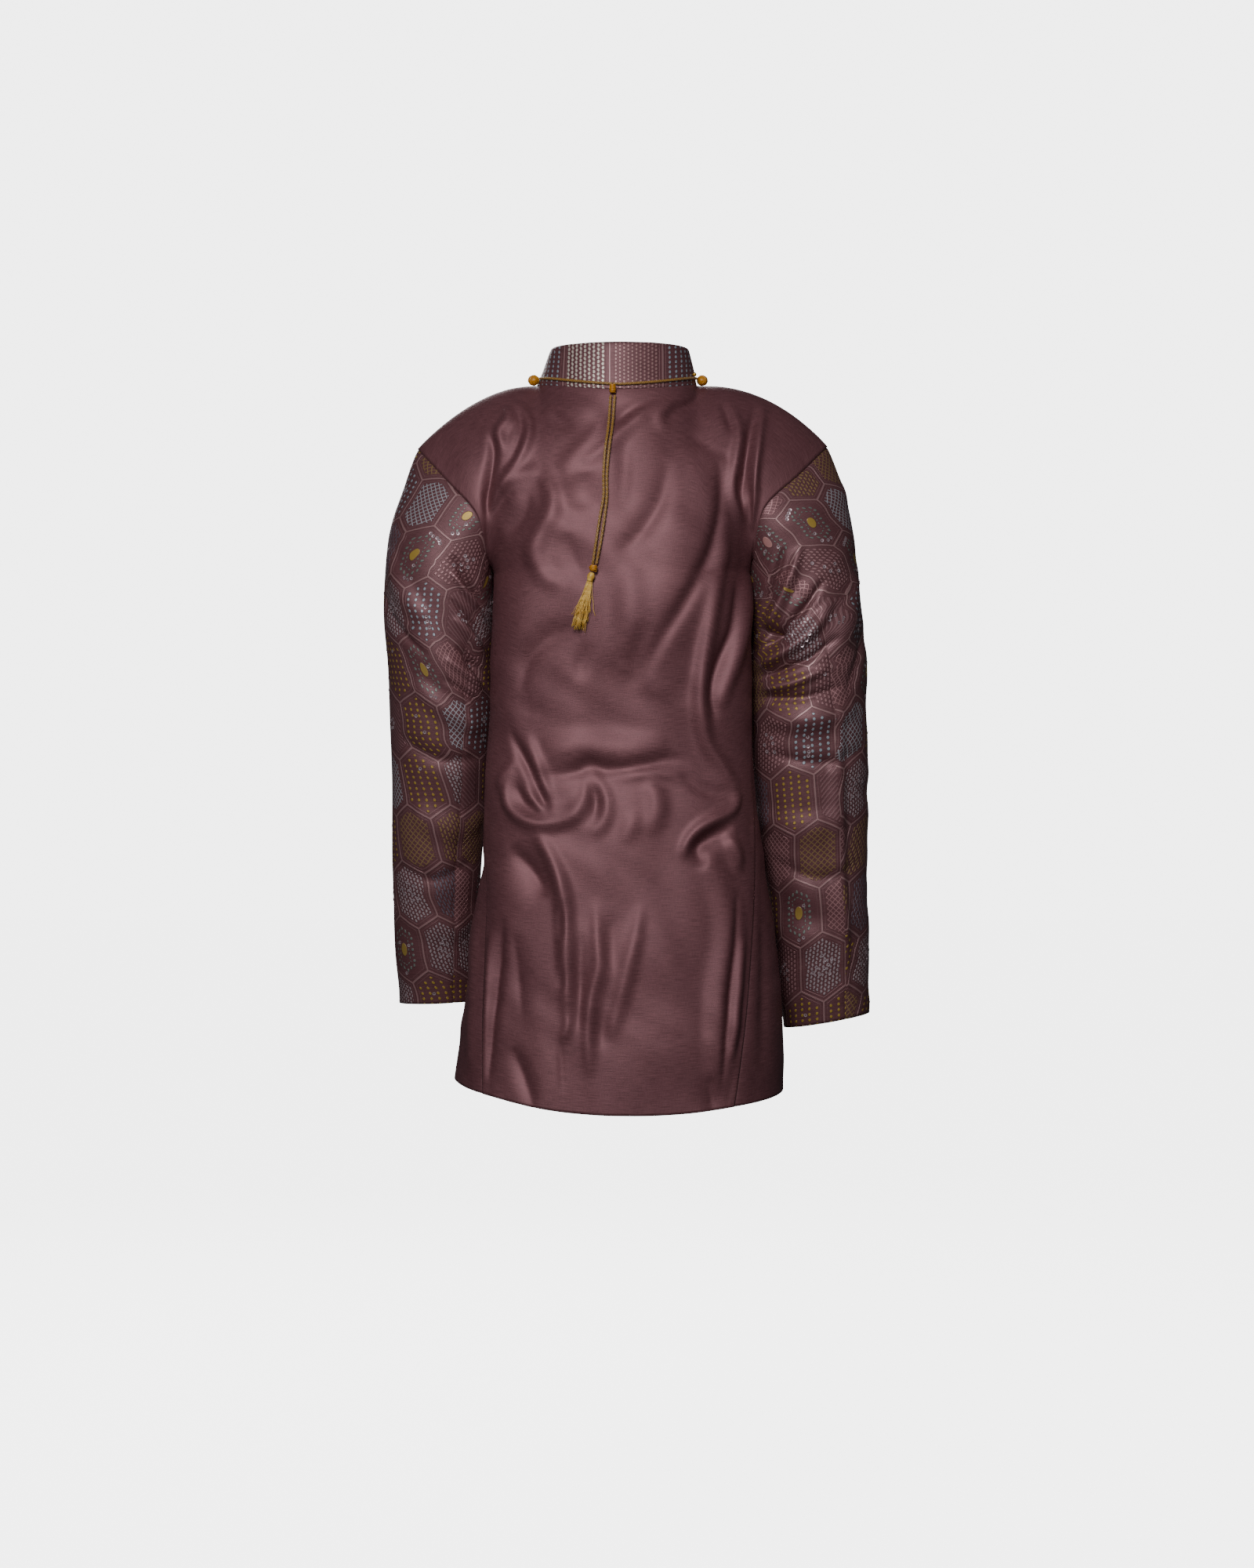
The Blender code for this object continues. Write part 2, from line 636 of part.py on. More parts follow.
def neck_cord_point(turn):
    """The middle of the cord on the collar's foot, at a turn round the collar."""
    middle = neck_point(1, 90.0)
    base = neck_point(1, turn)
    side_share = abs(math.cos(math.radians(turn)))
    rise = mix(NECK_CORD_RISE[1], NECK_CORD_RISE[0], side_share)
    height = base.z + rise
    span = collar_point(turn, 1.0).z - base.z
    on_collar = collar_point(turn, rise / span)
    out = Vector((on_collar.x - middle.x, on_collar.y, 0.0)).normalized()
    away = on_collar + out * (CORD / 2.0 + LIFT)
    return Vector((away.x, away.y, height))


def smooth_route(points, count):
    """Even points along the smooth curve through a route's own points."""
    rows = [(float(i), p.x, p.y, p.z) for i, p in enumerate(points)]
    dense = [Vector(interpolate(rows, (len(rows) - 1) * i / 200.0)) for i in range(201)]
    lengths = [0.0]
    for before, after in zip(dense, dense[1:]):
        lengths.append(lengths[-1] + (after - before).length)
    spaced = [(length, p.x, p.y, p.z) for length, p in zip(lengths, dense)]
    return [Vector(interpolate(spaced, lengths[-1] * i / (count - 1))) for i in range(count)]


def make_cord(name, points):
    """A round cord along a route, with filled ends."""
    curve = bpy.data.curves.new(name, "CURVE")
    curve.dimensions = "3D"
    curve.bevel_depth = CORD / 2.0 * MM
    curve.bevel_resolution = 2
    curve.use_fill_caps = True
    spline = curve.splines.new("POLY")
    spline.points.add(len(points) - 1)
    for spot, place in zip(spline.points, points):
        spot.co = (*(place * MM), 1.0)
    curve.materials.append(material(name, GOLD_CORD))
    made = bpy.data.objects.new(name, curve)
    bpy.context.scene.collection.objects.link(made)


def binding_place():
    """The middle of the binding, which hangs under the neck cord at the centre back."""
    on_cord = neck_cord_point(NECK_CORD_MIDDLE)
    height = on_cord.z - CORD / 2.0 + CORD_GAP - BINDING_LENGTH / 2.0
    cloth_below = place_on(1, on_cord.x, height - BINDING_LENGTH / 2.0, 0.0)
    return Vector((on_cord.x, cloth_below.y + BINDING_RADIUS + LIFT, height))


def make_neck_cords():
    """The cord on the collar seam, from the binding out to each wound end."""
    for name, end in zip(("cord_neck_left", "cord_neck_right"), NECK_CORD_TURNS):
        meet = NECK_CORD_MIDDLE + math.copysign(0.2, end - NECK_CORD_MIDDLE)
        make_cord(name, [neck_cord_point(mix(end, meet, i / 17.0)) for i in range(18)])


def make_knot(name, place, direction, radius, length, turns=3):
    """A wound knot: a short barrel with a swelling for each turn of the cord."""
    bm = bmesh.new()
    rings = turns * 2 + 1
    for index in range(rings):
        share = index / (rings - 1)
        swell = 1.0 if index % 2 else 0.84
        taper = math.sin(math.pi * mix(0.22, 0.78, share)) ** 0.5
        ring = bmesh.ops.create_circle(bm, segments=12, radius=radius * swell * taper)
        bmesh.ops.translate(bm, verts=ring["verts"], vec=(0.0, 0.0, (share - 0.5) * length))
    loops = [[v for v in bm.verts if abs(v.co.z - (i / (rings - 1) - 0.5) * length) < 1e-4]
             for i in range(rings)]
    for below, above in zip(loops, loops[1:]):
        edges = [e for e in bm.edges
                 if set(e.verts) <= set(below) or set(e.verts) <= set(above)]
        bmesh.ops.bridge_loops(bm, edges=edges)
    bmesh.ops.holes_fill(bm, edges=[e for e in bm.edges if e.is_boundary], sides=0)
    turn = direction.normalized().to_track_quat("Z", "Y").to_matrix()
    bmesh.ops.rotate(bm, verts=bm.verts, matrix=turn)
    bmesh.ops.translate(bm, verts=bm.verts, vec=place)
    finish(bm, name, GOLD_CORD)


def make_neck_knots():
    """The wound ends of the neck cord, each just past the cord's end."""
    for name, end in (("knot_left", NECK_CORD_TURNS[0]), ("knot_right", NECK_CORD_TURNS[1])):
        step = -1.0 if name == "knot_left" else 1.0
        tip = neck_cord_point(end)
        ahead = (neck_cord_point(end + step) - tip).normalized()
        outward = Vector((tip.x, 0.0, 0.0)).normalized()
        offset = KNOT_RADIUS - CORD / 2.0 + 0.6
        place = tip + ahead * (KNOT_LENGTH / 2.0 - CORD_GAP) + outward * offset
        make_knot(name, place, ahead, KNOT_RADIUS, KNOT_LENGTH)


def make_strands():
    for name, route in zip(("cord_strand_a", "cord_strand_b"), STRAND_ROUTES):
        points = [place_on(1, x, height, CORD / 2.0 + CORD_LIFT) for x, height in route]
        make_cord(name, smooth_route(points, 24))


def make_tassel():
    """Threads that grow from the tied head and spread as they fall."""
    top = place_on(1, *TASSEL_TOP, TASSEL_LIFT)
    bottom = place_on(1, *TASSEL_BOTTOM, TASSEL_LIFT + 1.5)
    fall = bottom - top
    length = fall.length
    bm = bmesh.new()
    threads = TASSEL_THREADS
    bmesh.ops.create_grid(bm, x_segments=threads, y_segments=threads, size=1.0)
    for vert in bm.verts:
        flat = Vector((vert.co.x, vert.co.y))
        square = max(abs(flat.x), abs(flat.y))
        if flat.length > 0.0:
            flat *= square / flat.length
        vert.co = Vector((flat.x, flat.y * 0.8, 0.0)) * TASSEL_HEAD_RADIUS
    cells = list(bm.faces)
    bmesh.ops.inset_individual(bm, faces=cells, thickness=THREAD_GAP)
    tips = [f for f in cells if f.is_valid]
    for share in (0.35, 0.7, 1.0):
        grown = bmesh.ops.extrude_discrete_faces(bm, faces=tips)
        tips = grown["faces"]
        for face in tips:
            middle = face.calc_center_median()
            spread = mix(1.0, TASSEL_SPREAD, share ** 1.5)
            before = mix(1.0, TASSEL_SPREAD, max(share - 0.35, 0.0) ** 1.5)
            ragged = 1.0 + 0.05 * math.sin(middle.x * 9.1 + middle.y * 5.3)
            drop = length * share * (ragged if share == 1.0 else 1.0)
            shift = Vector((middle.x, middle.y, 0.0)) * (spread / before - 1.0)
            shift.z = drop - middle.z
            bmesh.ops.translate(bm, verts=face.verts, vec=shift)
    rim = [e for e in bm.edges if e.is_boundary]
    cap = bmesh.ops.extrude_edge_only(bm, edges=rim)
    lifted = [g for g in cap["geom"] if isinstance(g, bmesh.types.BMVert)]
    bmesh.ops.translate(bm, verts=lifted, vec=(0.0, 0.0, -4.0))
    bmesh.ops.scale(bm, verts=lifted, vec=(0.7, 0.7, 1.0))
    bmesh.ops.holes_fill(bm, edges=[e for e in bm.edges if e.is_boundary], sides=0)
    side = Vector((1.0, 0.0, 0.0))
    down = fall.normalized()
    away = side.cross(down).normalized()
    side = down.cross(away).normalized()
    for vert in bm.verts:
        vert.co = top + side * vert.co.x + away * vert.co.y + down * vert.co.z
    finish(bm, "tassel", GOLD_CORD)


def make_cord_set():
    make_neck_cords()
    make_neck_knots()
    upright = Vector((0.0, 0.0, 1.0))
    make_knot("cord_binding", binding_place(), upright, BINDING_RADIUS, BINDING_LENGTH, 2)
    make_strands()
    knot = place_on(1, *LOWER_KNOT_PLACE, LOWER_KNOT_RADIUS + CORD_LIFT)
    make_knot("cord_lower_knot", knot, Vector((-0.2, 0.0, 1.0)), LOWER_KNOT_RADIUS, 5.6, 2)
    make_tassel()


def build():
    for old in list(bpy.data.objects):
        bpy.data.objects.remove(old, do_unlink=True)
    make_back()
    for side in (0, 1):
        make_front(side)
        make_sleeve(side)
    make_collar()
    for number in range(BUTTON_COUNT):
        make_button(number)
    make_cord_set()


build()
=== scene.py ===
import math

import bmesh
import bpy
import numpy as np
from mathutils import Matrix, Vector


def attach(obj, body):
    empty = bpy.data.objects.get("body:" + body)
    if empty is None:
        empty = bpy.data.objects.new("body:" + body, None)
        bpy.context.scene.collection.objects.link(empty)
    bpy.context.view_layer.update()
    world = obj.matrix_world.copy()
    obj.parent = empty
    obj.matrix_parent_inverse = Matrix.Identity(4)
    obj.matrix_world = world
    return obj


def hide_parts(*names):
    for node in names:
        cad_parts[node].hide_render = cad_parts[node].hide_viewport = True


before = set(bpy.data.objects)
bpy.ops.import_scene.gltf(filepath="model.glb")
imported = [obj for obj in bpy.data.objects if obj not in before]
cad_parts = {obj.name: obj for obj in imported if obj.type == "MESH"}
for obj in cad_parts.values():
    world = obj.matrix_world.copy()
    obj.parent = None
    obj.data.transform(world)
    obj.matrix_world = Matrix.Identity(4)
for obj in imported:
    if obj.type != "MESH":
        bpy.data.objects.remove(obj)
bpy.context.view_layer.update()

# The studio: a pale floor, soft lamps over and beside the camera, and the camera of the
# photograph, which looks level at the middle of the coat's back.
scene = bpy.context.scene
camera = bpy.data.objects.new("camera", bpy.data.cameras.new("camera"))
camera.data.lens = 69.7
camera.location = (-0.008, 2.4, -0.315)
camera.rotation_euler = (math.radians(90), 0, math.radians(180))
scene.collection.objects.link(camera)
scene.camera = camera


def shader_input(material, title):
    return material.node_tree.nodes["Principled BSDF"].inputs[title]


def new_material(name, values):
    """A material, with values for its shader's sockets by their names."""
    made = bpy.data.materials.new(name)
    made.use_nodes = True
    for title, value in values.items():
        shader_input(made, title).default_value = value
    return made


def new_object(name, bm, material=None, smooth=True):
    """An object in the scene from a bmesh, which is freed."""
    mesh = bpy.data.meshes.new(name)
    bm.to_mesh(mesh)
    bm.free()
    if smooth:
        mesh.shade_smooth()
    if material:
        mesh.materials.append(material)
    made = bpy.data.objects.new(name, mesh)
    scene.collection.objects.link(made)
    return made


PALE = (0.84, 0.84, 0.84, 1)
FLOOR_REACH = 14.0
FLOOR_HEIGHT = -1.05
paper = new_material("pale_paper", {"Base Color": PALE, "Roughness": 0.9, "Emission Color": PALE,
                                    "Emission Strength": 5.3})
bm = bmesh.new()
bmesh.ops.create_grid(bm, x_segments=8, y_segments=8, size=FLOOR_REACH)
bmesh.ops.translate(bm, verts=bm.verts, vec=(0, 0, FLOOR_HEIGHT))
floor = new_object("floor", bm, paper, smooth=False)
floor.visible_diffuse = False
floor.visible_glossy = False

world = bpy.data.worlds.new("studio")
scene.world = world
world.use_nodes = True
sky = world.node_tree
pale = sky.nodes["Background"]
pale.inputs["Color"].default_value = PALE
pale.inputs["Strength"].default_value = 5.5
dim = sky.nodes.new("ShaderNodeBackground")
dim.inputs["Color"].default_value = (0.8, 0.82, 0.86, 1)
dim.inputs["Strength"].default_value = 0.05
seen = sky.nodes.new("ShaderNodeLightPath")
either = sky.nodes.new("ShaderNodeMixShader")
sky.links.new(seen.outputs["Is Camera Ray"], either.inputs[0])
sky.links.new(dim.outputs[0], either.inputs[1])
sky.links.new(pale.outputs[0], either.inputs[2])
sky.links.new(either.outputs[0], sky.nodes["World Output"].inputs[0])

# Columns: name, place, size in metres, power in watts
for name, place, size, power in (
    ("lamp_over", (0.35, 2.2, 0.8), 0.7, 40.0),
    ("lamp_left", (1.3, 2.0, 0.1), 0.8, 5.0),
    ("lamp_right", (-1.3, 1.9, 0.2), 0.8, 4.0),
    ("lamp_front", (0.4, -2.2, 0.8), 1.2, 36.0),
):
    lamp = bpy.data.lights.new(name, "AREA")
    lamp.energy = power
    lamp.size = size
    lit = bpy.data.objects.new(name, lamp)
    lit.location = place
    aim = Vector((0, 0, -0.3)) - lit.location
    lit.rotation_euler = aim.to_track_quat("-Z", "Y").to_euler()
    scene.collection.objects.link(lit)

# The back: one panel of plum satin from the shoulder seams to the hem. It is cut with both
# armholes, sewn to the sleeves, the collar and the fronts, and hangs in soft folds.
MM = 0.001
CLOTH = 1.1
SEAM_GAP = 0.45
UNDERARM = -150.0
HEM = -560.0
UPPER_SHARE = 0.30
ARMHOLE_EASE = 1.1
SHOULDER_SHARE = 0.30
CORNER_POWER = 0.82
TIP_X = (158.0, 167.0)
TIP_DROP = (50.0, 48.0)
TIP_CURVE = (1.95, 2.3)
NECK_HALF = 63.0
NECK_BACK = 52.0
NECK_FRONT = 58.0
NECK_BACK_DROP = 8.0
NECK_FRONT_DROP = 46.0
COLLAR_SHIFT = -2.5

# Columns: height, left half width, right half width, back depth, front depth, lean to the back
TORSO = (
    (-580.0, 132.0, 132.0, 98.0, 99.0, 0.0),
    (-500.0, 123.0, 131.5, 95.0, 96.0, 0.0),
    (-450.0, 115.0, 127.3, 92.0, 93.0, 0.02),
    (-400.0, 107.0, 120.0, 88.0, 91.0, 0.08),
    (-340.0, 103.0, 109.4, 83.0, 88.0, 0.18),
    (-300.0, 100.0, 104.0, 78.0, 84.0, 0.22),
    (-250.0, 96.5, 103.3, 79.0, 83.0, 0.22),
    (-200.0, 95.8, 102.8, 83.0, 85.0, 0.22),
    (-165.0, 96.6, 103.0, 85.0, 86.0, 0.12),
    (-150.0, 98.0, 104.0, 85.0, 86.0, 0.0),
)
# Columns: height, angle of the left and of the right side seam behind the coat's side, degrees
SIDE_SEAMS = (
    (-580.0, 42.0, 53.0),
    (-340.0, 20.0, 28.0),
    (-150.0, 0.0, 0.0),
)
# Columns: angle round the hem from the left side, degrees, and height of the hem
HEM_LINE = (
    (-180.0, -554.0),
    (-90.0, -556.0),
    (0.0, -546.0),
    (40.0, -553.0),
    (90.0, -567.0),
    (140.0, -560.0),
    (180.0, -554.0),
)
# Columns: turn from the shoulder tip over the back, degrees, x, y, z
ARMHOLES = (
    (
        (-45.0, 134.0, -35.0, -77.0),
        (0.0, 158.0, 0.0, -50.0),
        (45.0, 134.0, 35.0, -77.0),
        (90.0, 108.0, 50.0, -107.0),
        (135.0, 101.0, 32.0, -138.0),
        (180.0, 98.0, 0.0, -150.0),
        (225.0, 101.0, -32.0, -138.0),
    ),
    (
        (-45.0, 143.0, -36.0, -73.0),
        (0.0, 167.0, 0.0, -48.0),
        (45.0, 143.0, 36.0, -73.0),
        (90.0, 114.0, 51.0, -102.0),
        (135.0, 107.0, 33.0, -136.0),
        (180.0, 104.0, 0.0, -150.0),
        (225.0, 107.0, -33.0, -136.0),
    ),
)

# Folds of the back, seen from behind. Columns: half width, height, and its run as x, z
BACK_FOLDS = (
    (5, -5.5, ((-49, -6), (-32, -12), (-14, -23), (1, -36), (13, -52), (34, -70))),
    (5, 3.5, ((-55, -11), (-29, -22), (-8, -38), (6, -53), (25, -70))),
    (4.5, -4, ((-66, -11), (-56, -19), (-44, -27), (-37, -36))),
    (3, 3, ((-49, -11), (-38, -23), (-33, -32), (-39, -43))),
    (1.8, -2.5, ((-42, -37), (-59, -47), (-73, -57), (-83, -61), (-92, -69))),
    (20, 6, ((-56, -51), (-59, -87), (-55, -129), (-41, -165), (-23, -201), (-5, -231))),
    (5, -6.5, ((-79, -66), (-79, -99), (-73, -130), (-62, -157), (-48, -182), (-33, -206), (-17, -237))),
    (5, 6.5, ((-85, -123), (-77, -159), (-71, -195), (-66, -225), (-64, -255), (-68, -282),
     (-80, -300), (-94, -321))),
    (6, -8, ((-95, -156), (-91, -195), (-81, -220), (-73, -243), (-76, -266))),
    (5, 5, ((-105, -123), (-103, -159), (-99, -189), (-91, -222), (-79, -257))),
    (4, -7, ((-112, -17), (-105, -39), (-101, -63), (-98, -87), (-97, -102))),
    (2.6, 5, ((-115, -15), (-112, -33), (-107, -69), (-107, -99), (-105, -118))),
    (3.5, 4, ((-91, -18), (-95, -45), (-91, -70), (-90, -90), (-94, -108), (-99, -116))),
    (3, -4, ((-82, -17), (-87, -30), (-91, -44))),
    (3, -4, ((-94, -74), (-93, -96))),
    (1.8, -3, ((-79, -103), (-89, -108), (-100, -117), (-107, -119))),
    (3, -5, ((77, -21), (73, -38), (77, -55), (84, -69), (94, -77))),
    (4, 4, ((81, -15), (69, -33), (71, -52), (82, -72), (92, -90), (99, -105))),
    (3.5, 4.5, ((88, -20), (84, -30), (91, -42), (88, -57))),
    (4, -7, ((98, -42), (96, -58), (100, -88), (100, -108))),
    (2, -4, ((65, -78), (79, -86), (91, -98), (99, -110))),
    (5, 3.5, ((58, -73), (76, -79), (89, -88))),
    (8, -5, ((66, -94), (75, -112), (86, -122))),
    (6, 4.5, ((58, -76), (50, -91), (50, -106), (59, -124), (63, -138), (57, -154), (42, -164))),
    (13, -4, ((39, -123), (33, -144), (23, -162))),
    (7, 3.5, ((0, -32), (16, -51), (30, -64), (44, -74))),
    (10, 2.5, ((58, -23), (34, -20), (12, -25))),
    (6, -2.5, ((52, -26), (43, -35), (35, -43))),
    (11, 3, ((27, -75), (27, -105))),
    (4.5, -3.5, ((-6, -48), (-6, -75), (-4, -104))),
    (8, -4, ((-39, -66), (-33, -99), (-17, -124), (-1, -140))),
    (9, 3, ((-11, -147), (-8, -183), (-3, -219))),
    (5, -3.2, ((-21, -192), (-15, -218), (-13, -242))),
    (5, -2.5, ((23, -207), (27, -222), (29, -236))),
    (11, -4.5, ((27, -195), (52, -203), (69, -220), (74, -245))),
    (1.2, -2, ((85, -253), (76, -251), (66, -248))),
    (1.2, -1.8, ((82, -256), (67, -258), (53, -262))),
    (12, 3, ((-45, -189), (-38, -225), (-31, -249))),
    (3.6, -6.5, ((60, -309), (43, -308), (28, -304), (20, -299), (6, -304), (-15, -302), (-38, -296),
     (-57, -299))),
    (10, 4.5, ((58, -290), (28, -287), (-8, -289), (-39, -285))),
    (3, 3, ((11, -307), (-8, -307), (-32, -307), (-51, -310))),
    (4, -7.5, ((83, -274), (73, -293), (63, -310), (56, -328), (51, -335))),
    (4.5, 4, ((71, -278), (62, -296), (58, -315), (50, -328))),
    (3.6, 5.5, ((78, -305), (85, -317), (82, -333), (69, -343), (51, -345), (33, -340), (24, -326),
     (23, -308))),
    (3.5, -4, ((78, -315), (71, -329), (58, -338))),
    (3, 3, ((71, -314), (64, -327), (52, -335), (36, -334), (29, -322))),
    (2.2, 4, ((78, -298), (87, -308), (92, -320))),
    (3.6, 4.5, ((19, -307), (12, -318), (8, -332), (11, -346), (21, -353))),
    (3, -6, ((18, -315), (15, -327), (17, -340))),
    (3.6, 6.5, ((-94, -321), (-89, -334), (-74, -343), (-62, -351), (-54, -361), (-51, -371))),
    (8, -9, ((-90, -350), (-73, -356), (-62, -365), (-68, -377))),
    (4, -3.5, ((-49, -306), (-62, -317), (-76, -322), (-88, -322))),
    (6, 3.5, ((-21, -314), (-30, -323), (-31, -339), (-25, -352))),
    (5, 2.2, ((-15, -338), (-10, -349), (-6, -361))),
    (4, 4.5, ((-85, -351), (-91, -366), (-95, -381))),
    (14, -10, ((83, -364), (66, -382), (53, -400))),
    (5, 6, ((62, -353), (50, -373), (41, -398), (39, -424), (38, -456), (37, -498))),
    (2.5, -4, ((42, -405), (42, -435))),
    (2.2, -3, ((41, -456), (42, -473))),
    (2.5, 3, ((36, -492), (38, -503), (43, -510))),
    (1.5, -2.6, ((43, -509), (42, -528), (41, -550))),
    (4, 4.5, ((16, -405), (14, -432), (13, -454), (18, -473), (21, -495), (21, -519), (20, -536))),
    (5, -3.5, ((27, -429), (28, -465), (29, -500))),
    (4.5, 4, ((-18, -408), (-15, -429), (-10, -450), (-5, -471), (0, -490), (5, -508))),
    (6, -3, ((3, -414), (5, -456))),
    (5, -2.5, ((9, -486), (13, -516))),
    (9, 5.5, ((-68, -370), (-82, -403), (-86, -435), (-81, -472), (-78, -513), (-77, -555))),
    (4, -5.5, ((-92, -399), (-90, -435), (-86, -472), (-83, -508), (-81, -544))),
    (3, 3.5, ((-96, -432), (-93, -471), (-90, -501), (-87, -526))),
    (3.5, -4, ((-103, -459), (-101, -495), (-94, -522))),
    (3, 4.5, ((-110, -474), (-105, -500), (-96, -532))),
    (4, -5, ((-115, -465), (-113, -495), (-109, -522))),
    (3.5, 4.5, ((-121, -459), (-121, -495), (-119, -525), (-116, -548))),
    (5, 4.5, ((96, -426), (102, -459), (105, -495), (108, -525), (109, -546))),
    (5, -6, ((87, -420), (92, -459), (96, -496), (100, -543))),
    (5, -3, ((112, -429), (115, -471), (119, -513))),
    (9, -3.5, ((79, -429), (76, -462), (72, -492))),
    (7, -4.5, ((81, -516), (72, -537), (62, -562))),
    (1.1, -0.8, ((1, -513), (-38, -509), (-80, -500))),
    (8, -3, ((-71, -537), (-74, -567))),
)
# The same for the fronts, seen from the front
FRONT_FOLDS = (
    (14, 4.5, ((84, -70), (66, -112), (42, -172))),
    (14, 4.5, ((-86, -74), (-66, -116), (-44, -180))),
    (7, -4, ((98, -60), (92, -96), (74, -138))),
    (7, -4, ((-104, -58), (-94, -98), (-78, -136))),
    (10, -4.5, ((92, -146), (72, -196), (40, -252))),
    (10, -4.5, ((-94, -150), (-74, -200), (-44, -262))),
    (6, 4, ((92, -190), (80, -230), (58, -268))),
    (6, 4, ((-96, -196), (-84, -236), (-62, -276))),
    (4, -4.5, ((84, -282), (60, -292), (34, -302), (14, -304))),
    (7, 4, ((82, -292), (56, -304), (30, -312))),
    (4, -4.5, ((-88, -290), (-64, -296), (-36, -298), (-14, -306))),
    (7, 4, ((-84, -300), (-60, -308), (-34, -308))),
    (3, -3, ((70, -330), (52, -336), (32, -334))),
    (10, 5.5, ((92, -330), (86, -400), (84, -470), (82, -552))),
    (8, -5, ((60, -352), (62, -420), (58, -490), (60, -552))),
    (7, 4, ((40, -370), (38, -440), (42, -500), (40, -548))),
    (10, 5.5, ((-94, -330), (-88, -400), (-92, -470), (-90, -552))),
    (8, -5, ((-62, -346), (-60, -420), (-66, -490), (-62, -552))),
    (7, 4, ((-42, -372), (-40, -430), (-46, -500), (-42, -548))),
    (5, 4, ((108, -380), (110, -450), (112, -540))),
    (5, -4, ((-110, -390), (-114, -460), (-112, -540))),
    (3, -3, ((18, -420), (20, -480), (16, -530))),
)
# How far the edges lie under the cloth beside them, on the back and on the fronts, and the
# width over which they sink, on panels of about this width and length
EDGE_SINK = (0.4, 1.75)
EDGE_ROLL = 2.0
PANEL_SPAN = (200.0, 520.0)
FOLD_STEPS = 90
KINK_PASSES = 40
SOFT_PASSES = 3
BODY_CELLS = (176, 260)


def mix(low, high, share):
    return low + (high - low) * share


def smooth_step(value):
    value = np.clip(value, 0.0, 1.0)
    return value * value * (3.0 - 2.0 * value)


def interpolate(rows, key):
    """Smooth values at each key, through rows whose first column is the key, lowest first."""
    table = np.array(rows, float)
    last = len(table) - 1
    key = np.clip(key, table[0, 0], table[last, 0])
    index = np.searchsorted(table[1:last, 0], key, side="left")
    low, high = table[index], table[index + 1]
    before, after = table[np.maximum(index - 1, 0)], table[np.minimum(index + 2, last)]
    span = high[..., 0] - low[..., 0]
    share = (key - low[..., 0]) / span
    values = []
    for column in range(1, table.shape[1]):
        slope_low = (high - before)[..., column] / (high - before)[..., 0] * span
        slope_high = (after - low)[..., column] / (after - low)[..., 0] * span
        bend = share * (1.0 - share) ** 2 * slope_low
        bend = bend + share * share * (share - 1.0) * slope_high
        values.append(mix(low[..., column], high[..., column], smooth_step(share)) + bend)
    return values


def spot(x, y, z):
    return np.stack(np.broadcast_arrays(x, y, z), axis=-1)


def unit(vectors):
    return vectors / np.maximum(np.linalg.norm(vectors, axis=-1, keepdims=True), 1e-9)


def armhole(side, turn):
    """A point of the armhole seam: turn 0 is the shoulder tip, 90 the back, 180 the underarm."""
    front = turn > 180.0
    x, y, z = interpolate(ARMHOLES[side], np.where(front, 360.0 - turn, turn))
    return spot(x if side == 0 else -x, np.where(front, -y, y), z)


def section(height, angle):
    """A point of the body's level outline: angle 0 is the left side, 90 the middle of the back."""
    left, right, back, front, lean = interpolate(TORSO, height)
    cosine, sine = np.cos(np.radians(angle)), np.sin(np.radians(angle))
    half = np.where(cosine > 0.0, left, right)
    depth = np.where(sine > 0.0, back, front)
    x = np.copysign(np.abs(cosine) ** CORNER_POWER, cosine) * half * (1.0 + lean * sine)
    y = np.copysign(np.abs(sine) ** CORNER_POWER, sine) * depth
    return spot(x, y, height)


def neck_point(face, angle):
    """A point of the neck seam, on the back (face 1) or the front (face -1)."""
    cosine, sine = np.cos(np.radians(angle)), np.abs(np.sin(np.radians(angle)))
    back = NECK_BACK_DROP * sine ** 2
    drop = np.where(np.asarray(face) > 0, back, NECK_FRONT_DROP * sine ** 1.7)
    depth = np.where(np.asarray(face) > 0, NECK_BACK, NECK_FRONT)
    return spot(COLLAR_SHIFT * sine + NECK_HALF * cosine, face * depth * sine, -drop)


def top_edge(face, across):
    """A point of a panel's top edge: shoulder seam, neck seam, shoulder seam."""
    share = np.minimum(across, 1.0 - across)
    angle = 180.0 * (across - SHOULDER_SHARE) / (1.0 - 2.0 * SHOULDER_SHARE)
    neck = neck_point(face, angle)
    left = across < 0.5
    tip = np.where(left, TIP_X[0], TIP_X[1])
    x = mix(tip, NECK_HALF, np.minimum(share / SHOULDER_SHARE, 1.0))
    out = (x - NECK_HALF) / (tip - NECK_HALF)
    curve = np.where(left, TIP_CURVE[0], TIP_CURVE[1])
    fall = np.where(left, TIP_DROP[0], TIP_DROP[1]) * out ** curve
    shoulder = spot(np.where(left, x, -x), 0.0, -fall)
    return np.where((share >= SHOULDER_SHARE)[..., None], neck, shoulder)


def dome(face, across, down):
    """The surface between the top edge and the underarm line, before it meets the armhole."""
    top = top_edge(face, across)
    low = section(np.full_like(across, UNDERARM), face * 180.0 * across)
    turn = down * np.pi / 2.0
    rounding = smooth_step((np.abs(2.0 * across - 1.0) - 0.15) / 0.4)
    fall = mix(down, 1.0 - np.cos(turn), rounding)
    x = mix(top[..., 0], low[..., 0], down)
    y = mix(top[..., 1], low[..., 1], np.sin(turn))
    return spot(x, y, mix(top[..., 2], low[..., 2], fall))


